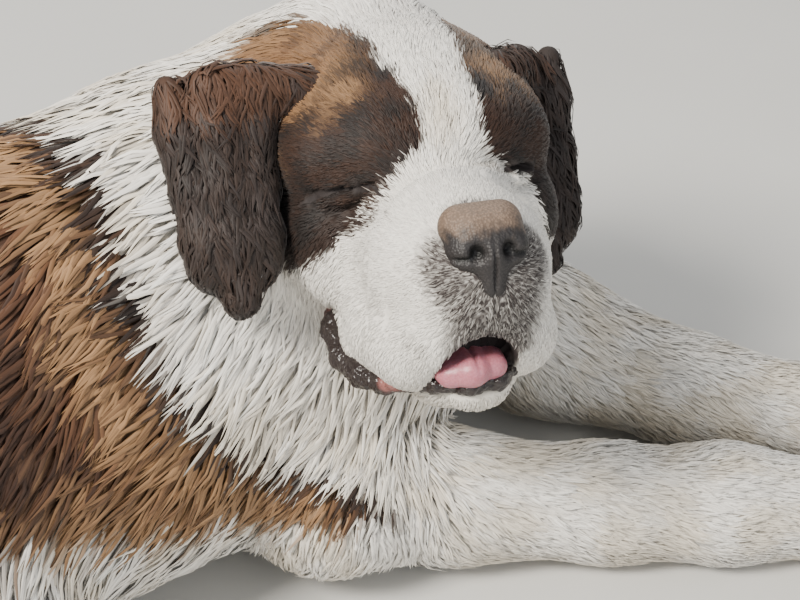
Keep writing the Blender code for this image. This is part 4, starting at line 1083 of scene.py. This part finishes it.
# The nostrils and their side slits are near black: painted shade in their hollows.
for hand in (-1.0, 1.0):
    nostril = near_path(local, [(9.0, hand - 0.2, -3.8, 0.45), (11.2, hand - 0.2, -3.8, 0.42)])
    slit = near_path(local, [(10.6, hand * 1.4 - 0.2, -4.1, 0.24), (10.2, hand * 2.1 - 0.2, -4.25, 0.2)])
    nose_colour = mixed(nose_colour, shade("#050404"), step(-np.minimum(nostril, slit), 0.25))
set_colours(nose, nose_colour)
nose.data.materials.append(leather)
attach(nose, "root")
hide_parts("nose")


# ---- Tongue ----
# The tongue is wet flesh, soft and finely grained, with a crease down its middle. It is one smooth
# form that lies in the lower jaw and rests on the lip in front.
tongue = feature("tongue", [
    [(-2.0, -0.8, -11.9, 1.2), (4.0, -0.9, -11.5, 1.2), (8.3, -1.1, -12.0, 0.95)],
    [(-2.0, -2.3, -12.0, 1.0), (4.0, -2.5, -11.7, 1.0), (7.6, -2.4, -12.2, 0.8)],
    [(-2.0, 0.7, -12.0, 1.0), (4.0, 0.8, -11.6, 1.0), (7.8, 0.5, -12.0, 0.8)],
], 0.14, 0.4, [((6.0, -0.9, -10.8), (4.0, 0.16, 1.0), 0.3)])
# Tongue flesh: pink with a wet gloss, and light passes a little way into it.
flesh_pink, flesh_shader = new_material("tongue_flesh")
TONGUE_GRAINS_PER_METRE = 700.0
flesh_grain = mottled(flesh_pink, flesh_shader, TONGUE_GRAINS_PER_METRE, 3.0, "#9C5561", "#C98590")
add_bump(flesh_pink, flesh_shader, (flesh_grain, "Fac"), 0.35, 0.0004)
flesh_shader.inputs["Roughness"].default_value = 0.38
flesh_shader.inputs["Subsurface Weight"].default_value = 0.2
flesh_shader.inputs["Subsurface Scale"].default_value = 0.003
tongue.data.materials.append(flesh_pink)
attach(tongue, "root")
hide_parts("tongue")


# ---- Lower lip ----
# The lower lip is a roll of wet dark skin, bare and pebbly, that droops at the corner of the mouth.
# It is one smooth form along the edge of the lower jaw, with waves for its small folds.
lip = feature("lower_lip", [LIP_PATH], 0.1, 0.25)
points = places_of(lip)
_, outward, _ = soft_union(points, joined_lengths({"jaw_lip": LIP_PATH}, True), 0.25)
points = points + outward * (waves(points, 0.9, 60) * 0.07 + waves(points, 0.45, 61) * 0.045)[:, None]
set_places(lip, points)
# Wet lip skin: a clear gloss over pebbles, dark with pink where it turns inward.
wet, wet_shader = new_material("wet_lip_skin")
LIP_PEBBLES_PER_METRE = 420.0
pebbled(wet, wet_shader, LIP_PEBBLES_PER_METRE, 0.6, 0.0008)
wet_colour = add_node(wet, "ShaderNodeAttribute", {"attribute_name": "markings"})
feed(wet, wet_shader, "Base Color", wet_colour, "Color")
wet_shader.inputs["Roughness"].default_value = 0.28
local = to_head(points)
pink = step(-near_path(local, [(-6.2, -6.2, -10.6, 0.5), (-5.4, -6.8, -11.8, 0.3)]), 0.5)
pink = np.maximum(pink, step(-near_path(local, [(2.2, -5.0, -14.1, 0.5), (4.6, -4.0, -13.4, 0.4)]), 0.6))
set_colours(lip, mixed(np.broadcast_to(LIP_DARK, local.shape), GUM * 1.4, pink))
lip.data.materials.append(wet)
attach(lip, "root")


# ---- Eyes ----
# The eyes are dark brown under a clear wet front, nearly shut. Each is a ball that sits in the
# socket behind the lids of the skin.
# Wet eye: a brown mottled iris under a clear coat that mirrors the sky.
eye_gloss, eye_shader = new_material("wet_eye")
IRIS_GRAINS_PER_METRE = 400.0
mottled(eye_gloss, eye_shader, IRIS_GRAINS_PER_METRE, 2.0, "#1A0B07", "#43200F")
eye_shader.inputs["Roughness"].default_value = 0.06
eye_shader.inputs["Coat Weight"].default_value = 1.0
EYE_RADIUS = 1.24
for side, (ahead, aside, up) in EYE.items():
    ball = [(ahead, aside, up, EYE_RADIUS), (ahead + 0.01, aside, up, EYE_RADIUS)]
    eye = feature(f"eyeball_{side}", [ball], 0.12, 0.1, rounds=1)
    eye.data.materials.append(eye_gloss)
    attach(eye, "root")
    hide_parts(f"eye_{side}")
